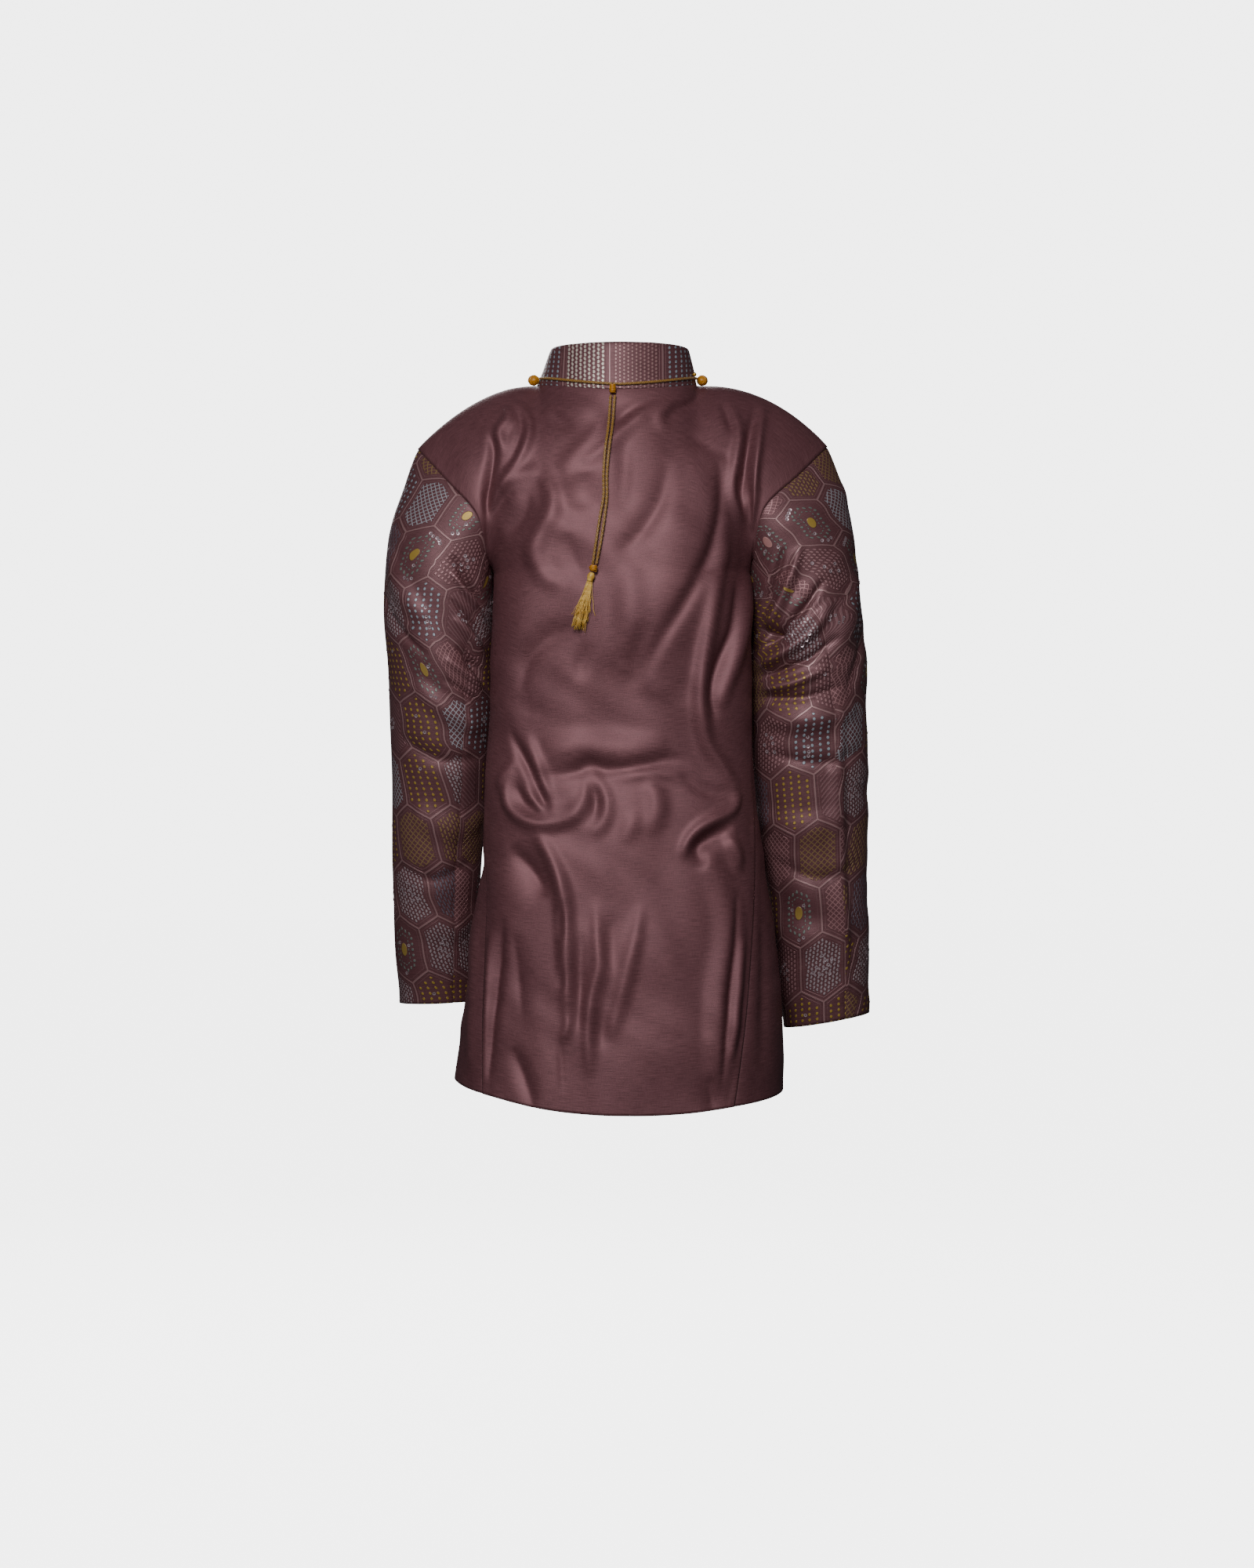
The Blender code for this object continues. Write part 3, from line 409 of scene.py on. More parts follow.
def body_point(face, across, down):
    """A point of the smooth body. Across runs from the left side to the right, down to the hem."""
    part = np.clip(down / UPPER_SHARE, 0.0, 1.0)
    turn = 180.0 * part ** ARMHOLE_EASE
    turn = turn if face > 0 else 360.0 - turn
    left = (across < 0.5)[..., None]
    edge = np.where(left, armhole(0, turn), armhole(1, turn))
    corner = np.where(left, dome(face, across * 0.0, part), dome(face, across * 0.0 + 1.0, part))
    pull = np.abs(2.0 * across - 1.0) ** 3
    upper = dome(face, across, part) + (edge - corner) * pull[..., None]
    part = np.clip((down - UPPER_SHARE) / (1.0 - UPPER_SHARE), 0.0, 1.0)
    left_seam, right_seam = interpolate(SIDE_SEAMS, mix(UNDERARM, HEM, part))
    seam = np.where(across < 0.5, left_seam, face * 180.0 - right_seam)
    angle = mix(face * 90.0, seam, np.abs(2.0 * across - 1.0))
    hem = interpolate(HEM_LINE, np.where(angle < -180.0, angle + 360.0, angle))[0]
    lower = section(mix(UNDERARM, hem, part), angle)
    return np.where((down < UPPER_SHARE)[..., None], upper, lower)


def grid_normals(spots, closed=False):
    """Unit normals of a grid of spots, by the steps to the spots beside each."""
    wide = np.concatenate((spots[:, -2:-1], spots, spots[:, 1:2]), axis=1) if closed else spots
    across = np.gradient(wide, axis=1)
    across = across[:, 1:-1] if closed else across
    return unit(np.cross(across, np.gradient(spots, axis=0)))


def fold_rise(folds, first, second):
    """The sum of the folds at points of a flat map: round ridges and sharp troughs."""
    total = np.zeros_like(first)
    for width, rise, run in folds:
        rows = [(place, *point) for place, point in enumerate(run)]
        line = interpolate(rows, np.linspace(0, len(run) - 1, FOLD_STEPS))
        reach = 2.0 * width
        near = (first > line[0].min() - reach) & (first < line[0].max() + reach)
        near &= (second > line[1].min() - reach) & (second < line[1].max() + reach)
        gap = np.hypot(first[near][:, None] - line[0], second[near][:, None] - line[1])
        along = gap.argmin(axis=1) / (FOLD_STEPS - 1)
        taper = np.sin(np.pi * np.clip(along, 0.0, 1.0)) ** 0.6
        distance = np.clip(gap.min(axis=1) / (width * mix(0.6, 1.0, taper)) / 2.0, 0.0, 1.0)
        shape = np.cos(distance * np.pi / 2.0) ** 2 if rise > 0 else (1.0 - distance) ** 2.2
        total[near] += rise * taper * shape
    return total


def ripple(first, second, seed):
    """Slight uneven waves that no cloth is without, in millimetres."""
    total = 0.0
    for wave in range(3):
        angle = seed + wave * 2.4
        length = 78.0 / 1.5 ** wave
        turn = first * math.cos(angle) + second * math.sin(angle)
        drift = first * math.sin(angle * 1.7) - second * math.cos(angle * 1.3)
        total = total + 0.6 / 1.6 ** wave * np.sin(turn * 6.28 / length
                                                    + 1.9 * np.sin(drift * 6.28 / (length * 2.3)))
    return total


def cloth(name, spots, material, start_column, turned, closed=False):
    """A thin cloth through a grid of spots in millimetres. Its UV map is the flat cloth in
    metres: u along the rows from the start column, v up from the last row."""
    rows, columns = spots.shape[0] - 1, spots.shape[1] - 1
    steps = np.linalg.norm(np.diff(spots, axis=1), axis=-1)
    u = np.concatenate((np.zeros((rows + 1, 1)), np.cumsum(steps, axis=1)), axis=1)
    u -= u[:, start_column:start_column + 1]
    steps = np.linalg.norm(np.diff(spots[::-1], axis=0), axis=-1)
    v = np.concatenate((np.zeros((1, columns + 1)), np.cumsum(steps, axis=0)), axis=0)[::-1]
    chart = np.stack((u, v), axis=-1) * MM
    bm = bmesh.new()
    bmesh.ops.create_grid(bm, x_segments=columns, y_segments=rows, size=1.0)
    if turned:
        bmesh.ops.reverse_faces(bm, faces=bm.faces)
    made = new_object(name, bm, material)
    mesh = made.data
    flat = np.empty(len(mesh.vertices) * 3)
    mesh.vertices.foreach_get("co", flat)
    flat = (flat.reshape(-1, 3) + 1.0) / 2.0
    column = np.rint(flat[:, 0] * columns).astype(int)
    row = np.rint(flat[:, 1] * rows).astype(int)
    mesh.vertices.foreach_set("co", (spots[row, column] * MM).ravel())
    corner = np.empty(len(mesh.loops), int)
    mesh.loops.foreach_get("vertex_index", corner)
    layer = mesh.uv_layers.new(name="chart")
    layer.data.foreach_set("uv", chart[row, column][corner].ravel())
    if closed:
        bm = bmesh.new()
        bm.from_mesh(mesh)
        bmesh.ops.remove_doubles(bm, verts=bm.verts, dist=1e-5)
        bm.to_mesh(mesh)
        bm.free()
    wall = made.modifiers.new("wall", "SOLIDIFY")
    wall.thickness = CLOTH * MM
    wall.offset = -1.0
    return made, chart


def panel_spots(face, across, down, folds, seed):
    """The grid of a body panel with its folds, drawn in at its seams."""
    smooth = body_point(face, across, down)
    ease = (smooth_step(down / 0.05) * 0.5)[:, 1:-1, None]
    for _ in range(KINK_PASSES):
        between_sides = (smooth[:, :-2] + smooth[:, 2:]) / 2.0
        smooth[:, 1:-1] += (between_sides - smooth[:, 1:-1]) * ease
    normals = grid_normals(smooth) * (-face)
    share = np.minimum(across, 1.0 - across)
    fade = smooth_step(share / 0.05) * smooth_step(down / 0.06)
    rise = fold_rise(folds, smooth[..., 0], smooth[..., 2])
    for _ in range(SOFT_PASSES):
        for axis in (0, 1):
            rise = np.moveaxis(rise, axis, 0)
            rise[1:-1] = (rise[:-2] + rise[1:-1] * 2.0 + rise[2:]) / 4.0
            rise = np.moveaxis(rise, 0, axis)
    rise = (rise + ripple(smooth[..., 0], smooth[..., 2], seed)) * fade
    for part, span in zip((share, down), PANEL_SPAN):
        rise -= EDGE_SINK[0 if face > 0 else 1] * np.exp(-part * span / EDGE_ROLL)
    return smooth, normals, rise


class Value:
    """What a node puts out. Sums, products and so on of values are nodes of the same tree."""

    def __init__(self, socket):
        self.socket = socket

    def __add__(self, other):
        return calc("ADD", self, other)

    def __sub__(self, other):
        return calc("SUBTRACT", self, other)

    def __rsub__(self, other):
        return calc("SUBTRACT", other, self)

    def __mul__(self, other):
        return calc("MULTIPLY", self, other)

    def __truediv__(self, other):
        return calc("DIVIDE", self, other)

    def __abs__(self):
        return calc("ABSOLUTE", self)


def feed(socket, value):
    if isinstance(value, Value):
        socket.id_data.links.new(value.socket, socket)
    else:
        socket.default_value = value


def new_node(kind, values, **settings):
    """A node in the tree of its values, which stand by the names or numbers of its sockets."""
    tree = next(value.socket.id_data for value in values.values() if isinstance(value, Value))
    node = tree.nodes.new(kind)
    for title, setting in settings.items():
        setattr(node, title, setting)
    for key, value in values.items():
        feed(node.inputs[key], value)
    return node


def calc(operation, *values):
    node = new_node("ShaderNodeMath", dict(enumerate(values)), operation=operation)
    return Value(node.outputs[0])


def between(value, low, high):
    """0 below low, 1 above high, and smooth between them."""
    node = new_node("ShaderNodeMapRange", {"Value": value, "From Min": low, "From Max": high},
                    interpolation_type="SMOOTHSTEP")
    return Value(node.outputs[0])


def blend_colour(share, low, high, blend_type="MIX"):
    node = new_node("ShaderNodeMix", {0: share, 6: low, 7: high}, data_type="RGBA", blend_type=blend_type)
    return Value(node.outputs[2])


def noise(vector, scale, stretch=(1, 1, 1), detail=2.0):
    """Noise over a vector in metres, with scale in spots a metre."""
    stretched = Value(new_node("ShaderNodeMapping", {"Vector": vector, "Scale": stretch}).outputs[0])
    node = new_node("ShaderNodeTexNoise", {"Vector": stretched, "Scale": scale, "Detail": detail})
    return Value(node.outputs[0])


def parts_of(vector):
    return [Value(socket) for socket in new_node("ShaderNodeSeparateXYZ", {0: vector}).outputs]


def new_group(name, inputs, outputs):
    """A node group, its inputs as values, and its output sockets."""
    group = bpy.data.node_groups.new(name, "ShaderNodeTree")
    for direction, sockets in (("INPUT", inputs), ("OUTPUT", outputs)):
        for title, kind in sockets.items():
            group.interface.new_socket(title, in_out=direction, socket_type="NodeSocket" + kind)
    given = group.nodes.new("NodeGroupInput").outputs
    return group, [Value(given[title]) for title in inputs], group.nodes.new("NodeGroupOutput").inputs


def place_group(group, **values):
    node = new_node("ShaderNodeGroup", values, node_tree=group)
    return {socket.name: Value(socket) for socket in node.outputs}


def chart_of(material):
    node = material.node_tree.nodes.new("ShaderNodeUVMap")
    node.uv_map = "chart"
    return Value(node.outputs[0])


def emboss(material, height, strength, distance):
    """Relief from a height, on the material's shader."""
    node = new_node("ShaderNodeBump", {"Height": height, "Strength": strength, "Distance": distance})
    feed(shader_input(material, "Normal"), Value(node.outputs[0]))


# Slubbed satin: long level threads of uneven thickness over a fine warp
slub, (chart,), made = new_group("slubbed_satin", {"Chart": "Vector"},
                                 {"Thread": "Float", "Cloud": "Float", "Height": "Float"})
level = noise(chart, 1.0, (90, 2300, 1))
fine = noise(chart, 1.0, (900, 3600, 1), 0.0)
warp = noise(chart, 1.0, (3200, 160, 1), 0.0)
thread = level * 0.62 + fine * 0.2 + warp * 0.18
feed(made["Thread"], between(thread, 0.36, 0.64))
feed(made["Cloud"], noise(chart, 14.0))
feed(made["Height"], thread)

satin = new_material("plum_satin", {"Metallic": 0.42})
weave = place_group(slub, Chart=chart_of(satin))
shade = blend_colour(weave["Thread"], (0.135, 0.050, 0.058, 1), (0.215, 0.086, 0.098, 1))
drift = blend_colour(between(weave["Cloud"], 0.3, 0.7), (0.90, 0.88, 0.90, 1), (1, 1, 1, 1))
feed(shader_input(satin, "Base Color"), blend_colour(1.0, shade, drift, "MULTIPLY"))
feed(shader_input(satin, "Roughness"), weave["Thread"] * 0.08 + 0.50)
emboss(satin, weave["Height"], 0.5, 0.0003)

across, down = np.meshgrid(np.linspace(0, 1, BODY_CELLS[0] + 1),
                           np.linspace(0, 1, BODY_CELLS[1] + 1))
smooth, back_normals, rise = panel_spots(1, across, down, BACK_FOLDS, 0.7)
back_spots = smooth + back_normals * rise[..., None]
shoulder = (down <= 0.0) & (np.minimum(across, 1.0 - across) < SHOULDER_SHARE)
back_spots[..., 1] += shoulder * SEAM_GAP / 2.0
back, _ = cloth("back_satin", back_spots, satin, BODY_CELLS[0] // 2, True)
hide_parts("back")
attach(back, "root")

# The fronts: two panels of the same satin. They come round to the side-back seams, and the left
# one laps over the right one down the centre, where the buttons hold it.
LAP_SHARE = 16 / 30
UNDER_LAP_SINK = 2.6
LAP_REACH = 32.0
TURNING = 2.2

front_spots = []
for side, name in enumerate(("front_left", "front_right")):
    columns = round(BODY_CELLS[0] * LAP_SHARE)
    across, down = np.meshgrid(np.linspace(0, LAP_SHARE, columns + 1),
                               np.linspace(0, 1, BODY_CELLS[1] + 1))
    across = across if side == 0 else 1.0 - across
    smooth, normals, rise = panel_spots(-1, across, down, FRONT_FOLDS, 3.1)
    normals = normals if side == 0 else -normals
    if side == 1:
        rise = rise - UNDER_LAP_SINK * smooth_step((smooth[..., 0] + LAP_REACH + 14.0) / 14.0)
    spots = smooth + normals * rise[..., None]
    shoulder = (down <= 0.0) & (np.minimum(across, 1.0 - across) < SHOULDER_SHARE)
    spots[..., 1] -= shoulder * SEAM_GAP / 2.0
    # The turnings of the shoulder and side seams lie under the back's edge
    spots[0] += unit(spots[0] - spots[1]) * TURNING * shoulder[0][:, None]
    below = spots[:, 0, 2] < UNDERARM - 6.0
    spots[below, 0] += unit(spots[below, 0] - spots[below, 1]) * TURNING
    front_spots.append((spots, normals))
    front, _ = cloth(name + "_satin", spots, satin, 0, side == 1)
    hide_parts(name)
    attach(front, "root")

# The sleeves: one piece each of satin embroidered all over in a honeycomb, sewn into the armhole
# and up its own seam behind the arm, with a plain turned hem.
SLEEVE_CELLS = (150, 190)
SLEEVE_AROUND = 0.72
TUCK = 1.2
SLEEVE_LENGTH = 440.0
# Columns: share of the length, outer x, outer z, inner x, inner z, middle y, half depth
SLEEVES = (
    (
        (0.00, 158.0, -50.0, 98.0, -150.0, 0.0, 50.0),
        (0.08, 169.0, -79.0, 97.9, -166.0, -1.0, 50.0),
        (0.16, 178.0, -110.0, 97.2, -182.0, -2.0, 50.0),
        (0.24, 183.0, -141.0, 97.0, -200.0, -3.0, 50.0),
        (0.32, 184.5, -175.0, 97.2, -224.0, -5.0, 49.0),
        (0.44, 182.0, -225.0, 96.8, -256.0, -9.0, 47.0),
        (0.56, 180.0, -284.0, 100.5, -296.0, -17.0, 44.0),
        (0.68, 179.5, -346.0, 105.6, -350.0, -28.0, 40.0),
        (0.79, 180.0, -397.0, 110.4, -400.0, -38.0, 37.0),
        (0.89, 179.0, -441.0, 114.0, -443.0, -49.0, 34.0),
        (1.00, 176.5, -492.0, 115.0, -490.0, -60.0, 32.0),
    ),
    (
        (0.00, 167.0, -48.0, 104.0, -150.0, 0.0, 51.0),
        (0.08, 179.0, -79.0, 104.6, -166.0, 0.0, 51.0),
        (0.16, 186.0, -110.0, 104.2, -183.0, -1.0, 51.0),
        (0.24, 191.0, -145.0, 104.0, -202.0, -2.0, 51.0),
        (0.32, 195.0, -180.0, 104.0, -226.0, -3.0, 50.0),
        (0.44, 198.0, -230.0, 104.2, -258.0, -6.0, 48.0),
        (0.56, 199.0, -290.0, 106.5, -302.0, -11.0, 45.0),
        (0.68, 200.0, -346.0, 111.6, -352.0, -18.0, 42.0),
        (0.79, 200.0, -396.0, 120.4, -402.0, -25.0, 39.0),
        (0.89, 202.0, -442.0, 127.0, -452.0, -31.0, 36.0),
        (1.00, 202.5, -498.0, 134.0, -510.0, -38.0, 33.0),
    ),
)

# Where the sleeve's own seam lies. Columns: share of the length, turn of the left, of the right
SLEEVE_SEAM = ((0.0, 150.0, 142.0), (0.12, 140.0, 122.0), (0.3, 124.0, 78.0), (0.5, 120.0, 68.0),
               (1.0, 120.0, 66.0))
# Folds. Columns: half width, height, and the run as turn in degrees and millimetres along. The
# first ones lie on the front of both sleeves
FRONT_SIDE_FOLDS = (
    (6, -4, ((215, 70), (250, 96), (280, 130))),
    (8, 3.5, ((220, 120), (260, 150), (300, 170))),
    (6, -4, ((230, 176), (270, 200), (320, 206))),
    (8, 3, ((240, 226), (290, 240), (330, 236))),
    (7, -3, ((230, 290), (280, 300), (330, 286))),
    (8, 2.5, ((240, 350), (290, 360), (330, 352))),
)
SLEEVE_FOLDS = (
    (
        (7, -7, ((128, 146), (146, 166), (160, 190))),
        (6, -5, ((95, 52), (130, 66), (165, 92), (190, 120))),
        (5, 4, ((100, 66), (135, 82), (170, 108))),
        (6, -5, ((105, 96), (140, 112), (172, 136), (200, 150))),
        (6, 4, ((110, 112), (145, 130), (175, 152))),
        (5, -4.5, ((112, 140), (145, 152), (180, 172))),
        (6, 3.5, ((100, 158), (140, 170), (180, 190))),
        (5, -4, ((95, 182), (135, 192), (180, 204), (220, 200))),
        (8, 3, ((60, 196), (110, 214), (160, 222))),
        (7, -3.5, ((40, 240), (90, 252), (150, 246))),
        (9, 2.5, ((20, 90), (50, 120), (80, 132))),
        (6, -2.5, ((10, 128), (45, 152), (80, 166))),
        (9, 3, ((60, 290), (110, 300), (170, 286))),
        (7, -3, ((30, 330), (90, 340), (150, 322))),
        (9, 2.5, ((50, 372), (110, 380), (170, 366))),
        *FRONT_SIDE_FOLDS,
    ),
    (
        (7, -9, ((116, 128), (134, 112), (152, 100))),
        (5, -5, ((98, 40), (124, 62), (150, 92), (168, 124))),
        (5, 4.5, ((84, 52), (110, 80), (135, 112), (160, 140))),
        (5, -5.5, ((70, 96), (96, 112), (128, 122), (165, 120))),
        (6, 5, ((64, 118), (94, 136), (130, 142), (170, 138))),
        (5, -5, ((60, 150), (92, 160), (130, 158), (170, 150))),
        (5, 4, ((74, 176), (110, 178), (150, 168))),
        (5, -4.5, ((56, 196), (98, 196), (140, 184), (180, 172))),
        (7, 3.5, ((40, 214), (90, 216), (140, 206))),
        (6, -3.5, ((30, 244), (80, 250), (140, 236))),
        (9, 3, ((20, 110), (45, 140), (60, 170))),
        (6, -3, ((5, 150), (34, 176), (52, 204))),
        (9, 3, ((60, 292), (110, 300), (170, 284))),
        (6, -3, ((34, 328), (90, 338), (150, 320))),
        (9, 2.5, ((50, 376), (110, 382), (170, 370))),
        (5, 4, ((62, 210), (66, 280), (66, 350), (66, 424))),
        *FRONT_SIDE_FOLDS,
    ),
)


def sleeve_ring(side, turn, along):
    """A point of the smooth sleeve: turn 0 is its outer side, 90 its back."""
    outer_x, outer_z, inner_x, inner_z, middle_y, depth = interpolate(SLEEVES[side], along)
    hand = 1.0 if side == 0 else -1.0
    cosine, sine = np.cos(np.radians(turn)), np.sin(np.radians(turn))
    x = hand * ((outer_x + inner_x) / 2.0 + (outer_x - inner_x) / 2.0 * cosine)
    z = (outer_z + inner_z) / 2.0 + (outer_z - inner_z) / 2.0 * cosine
    return spot(x, middle_y + depth * sine, z)


def sleeve_point(side, turn, along):
    """A point of the sleeve, which starts a seam gap from the armhole seam."""
    point = sleeve_ring(side, turn, along)
    pull = np.maximum(0.0, 1.0 - along / 0.24) ** 2
    hand = 1.0 if side == 0 else -1.0
    half = armhole(side, np.array(0.0)) - armhole(side, np.array(180.0))
    axis = unit(np.array((half[2] * hand, 0.0, -half[0] * hand)))
    start = armhole(side, turn % 360.0) - axis * TUCK
    return point + (start - sleeve_ring(side, turn, along * 0.0)) * pull[..., None]


# The honeycomb: tall six-sided cells 37 mm wide, each with a pick from 0 to 1 of its own
CELL = 37.0
CELL_STEP = 46.0
CELL_TIP = (CELL_STEP + CELL / math.sqrt(12.0)) / 2.0
SLANT = math.sqrt(0.75)
# A cell's pick comes from its counts across and up. Weights: across, up, their squares, product
PICK_WEIGHTS = (37.0, 101.0, 7.0, 13.0, 5.0)
PICKS = 97.0


def pick_total(across, up):
    total = across * PICK_WEIGHTS[0]
    for term, weight in zip((up, across * across, up * up, across * up), PICK_WEIGHTS[1:]):
        total = total + term * weight
    return total


honeycomb, (chart,), made = new_group(
    "honeycomb", {"Chart": "Vector"}, {"X": "Float", "Y": "Float", "Edge": "Float", "Pick": "Float"})
x, y = (part * 1000.0 for part in parts_of(chart)[:2])
lattice = []
for shift in (0.0, 0.5):
    near = []
    for value, size in ((x, CELL), (y, CELL_STEP * 2.0)):
        near.append(calc("FLOORED_MODULO", value - shift * size, size) - size / 2.0)
    beside = abs(near[0])
    slanted = (CELL_TIP - abs(near[1])) * SLANT - beside * 0.5
    lattice.append((*near, calc("MINIMUM", CELL / 2.0 - beside, slanted)))
first = calc("GREATER_THAN", lattice[0][2], lattice[1][2])
cell = [other + (one - other) * first for one, other in zip(*lattice)]
across = calc("ROUND", (x - cell[0]) / (CELL / 2.0))
up = calc("ROUND", (y - cell[1]) / CELL_STEP)
pick = (calc("FLOORED_MODULO", pick_total(across, up), PICKS) + 0.5) / PICKS
for title, value in (("X", cell[0]), ("Y", cell[1]), ("Edge", cell[2]), ("Pick", pick)):
    feed(made[title], value)

# Stitches: the mask of one filling. Counts holds its stitches a millimetre across, its slant plus
# a half, and its stitches a millimetre up. Size holds a quarter of a stitch's half width and half
# height in millimetres, and the shift of every other column
ABOVE_ZERO = 50.5
stitches, (x, y, counts, zigzag, size, lattice), made = new_group(
    "filling_stitches",
    {"X": "Float", "Y": "Float", "Counts": "Vector", "Zigzag": "Float", "Size": "Vector", "Lattice": "Float"},
    {"Mask": "Float"})
across, slant, up = parts_of(counts)
half_width, half_height, brick = parts_of(size)
x = x + calc("PINGPONG", y, 2.2) * zigzag
slant = slant - 0.5
back_slant = slant * up / across
first = x * across + y * slant
shift = brick * calc("MODULO", calc("FLOOR", first + ABOVE_ZERO), 2.0)
second = y * up - x * back_slant + shift
reach = []
for value, one, other, half in ((first, across, slant, half_width), (second, up, back_slant, half_height)):
    dense = calc("SQRT", one * one + other * other)
    middle = (calc("FRACT", value + ABOVE_ZERO) - 0.5) / (calc("MAXIMUM", dense, 0.001) * (half * 4.0))
    reach.append(middle * middle)
knots = reach[0] + reach[1] * calc("GREATER_THAN", up, 0.01)
spread = knots + (calc("MINIMUM", *reach) - knots) * lattice
feed(made["Mask"], 1.0 - between(spread, 0.6, 1.15))

# The ringed cell: a filled oval in a ring of small stitches and one of round knots
ringed, (x, y, edge), made = new_group(
    "ringed_cell", {"X": "Float", "Y": "Float", "Edge": "Float"}, {"Rings": "Float", "Oval": "Float"})
upright = calc("COMPARE", CELL / 2.0 - abs(x), edge, 0.01)
level = x / SLANT
run = level + upright * (y - level)
rings = 0.0
for depth, pitch, half_depth, half_width in ((9.3, 4.6, 1.25, 1.25), (13.2, 3.4, 0.55, 1.1)):
    beside = (calc("FRACT", run / pitch + ABOVE_ZERO) - 0.5) * (pitch / half_width)
    ahead = (edge - depth) / half_depth
    rings = calc("MAXIMUM", rings, 1.0 - between(ahead * ahead + beside * beside, 0.6, 1.15))
oval = calc("POWER", x / 3.4, 2.0) + calc("POWER", y / 5.4, 2.0)
feed(made["Rings"], rings)
feed(made["Oval"], 1.0 - between(oval, 0.85, 1.1))

# Fillings of the cells. Columns: name, stitches a millimetre across and up, slant, zigzag, half
# width and half height of a stitch, shift of bricks, 1 for crossed lines, colour of the thread
FILLINGS = (
    ("mustard_knots", 0.156, 0.222, 0.0, 0.0, 1.2, 1.3, 0.0, 0.0, (0.42, 0.28, 0.05)),
    ("pink_bricks", 0.31, 0.27, 0.0, 0.0, 0.95, 1.5, 0.5, 0.0, (0.33, 0.170, 0.180)),
    ("ringed_mustard", 0.1, 0.1, 0.0, 0.0, 0.1, 0.1, 0.0, 0.0, (0.17, 0.19, 0.17)),
    ("blue_knots", 0.156, 0.222, 0.0, 0.0, 1.25, 1.35, 0.0, 0.0, (0.33, 0.37, 0.42)),
    ("dark_diagonals", 0.24, 0.0, 0.24, 0.0, 0.75, 1.0, 0.0, 0.0, (0.22, 0.105, 0.115)),
    ("white_lattice", 0.20, 0.20, 0.20, 0.0, 0.42, 0.42, 0.0, 1.0, (0.40, 0.38, 0.42)),
    ("ringed_pink", 0.1, 0.1, 0.0, 0.0, 0.1, 0.1, 0.0, 0.0, (0.20, 0.22, 0.20)),
    ("copper_columns", 0.34, 0.20, 0.03, 0.2, 0.85, 2.1, 0.5, 0.0, (0.29, 0.18, 0.08)),
    ("pink_lattice", 0.22, 0.22, 0.22, 0.0, 0.42, 0.42, 0.0, 1.0, (0.34, 0.165, 0.175)),
    ("silver_bricks", 0.33, 0.30, 0.04, 0.3, 0.95, 1.4, 0.5, 0.0, (0.37, 0.29, 0.31)),
    ("mustard_again", 0.156, 0.222, 0.0, 0.0, 1.2, 1.3, 0.0, 0.0, (0.40, 0.26, 0.05)),
    ("slate_columns", 0.42, 0.16, 0.05, 0.0, 0.7, 2.6, 0.5, 0.0, (0.17, 0.14, 0.18)),
    ("ringed_again", 0.1, 0.1, 0.0, 0.0, 0.1, 0.1, 0.0, 0.0, (0.19, 0.21, 0.19)),
    ("copper_lattice", 0.20, 0.20, 0.20, 0.0, 0.5, 0.5, 0.0, 1.0, (0.27, 0.16, 0.08)),
)
RINGED = (2, 6, 12)
OVALS = ((0.40, 0.26, 0.05, 1), (0.46, 0.22, 0.21, 1), (0.38, 0.25, 0.06, 1))


def filling_ramps(pick, fillings, edges):
    """Colour and alpha over the pick: counts and zigzag, thread, and stitch size and lattice."""
    ramps = []
    for column in range(3):
        node = new_node("ShaderNodeValToRGB", {0: pick})
        node.color_ramp.interpolation = "CONSTANT"
        points = node.color_ramp.elements
        while len(points) < len(fillings):
            points.new(0.5)
        for point, row, at in zip(points, fillings, edges):
            point.position = at
            _, across, up, slant, zigzag, half_width, half_height, shift, crossed, thread = row
            point.color = ((across, slant + 0.5, up, zigzag), (*thread, 1.0),
                           (half_width / 4.0, half_height / 4.0, shift, crossed))[column]
        ramps.append([Value(socket) for socket in node.outputs])
    return ramps


def embroider(material, x, y, edge, pick, ramps, ovals, margin):
    """Threads over the satin: outlines raised along the edge, fillings inside them."""
    (counts, zigzag), (thread, _), (size, lattice) = ramps
    filling = place_group(stitches, X=x, Y=y, Counts=counts, Zigzag=zigzag, Size=size, Lattice=lattice)
    mask = filling["Mask"]
    if ovals:
        rings = place_group(ringed, X=x, Y=y, Edge=edge)
    for row, bright in ovals:
        chosen = calc("COMPARE", pick, (row + 0.5) / len(FILLINGS), 0.5 / len(FILLINGS))
        middle = rings["Oval"] * chosen
        mask = mask * (1.0 - chosen) + calc("MAXIMUM", rings["Rings"], middle) * chosen
        thread = blend_colour(middle, thread, bright)
    fill = mask * between(edge, margin, margin + 0.5)
    outer = 1.0 - between(edge, 0.6, 0.95)
    inner = between(edge, 2.5, 2.7) * (1.0 - between(edge, 3.0, 3.3))
    outline = calc("MAXIMUM", outer, inner * 0.3)
    weave = place_group(slub, Chart=chart_of(material))
    ground = blend_colour(weave["Thread"], (0.115, 0.044, 0.050, 1), (0.175, 0.070, 0.080, 1))
    colour = blend_colour(fill, ground, thread)
    colour = blend_colour(outline, colour, (0.31, 0.170, 0.175, 1))
    feed(shader_input(material, "Base Color"), colour)
    feed(shader_input(material, "Roughness"), calc("MAXIMUM", fill, outline) * -0.06 + 0.5)
    emboss(material, fill * 0.8 + outline + weave["Height"] * 0.25, 0.8, 0.0006)


embroidered = new_material("embroidered_satin", {"Metallic": 0.35})
comb = place_group(honeycomb, Chart=chart_of(embroidered))
ramps = filling_ramps(comb["Pick"], FILLINGS, [row / len(FILLINGS) for row in range(len(FILLINGS))])
embroider(embroidered, comb["X"], comb["Y"], comb["Edge"], comb["Pick"], ramps,
          tuple(zip(RINGED, OVALS)), 4.2)

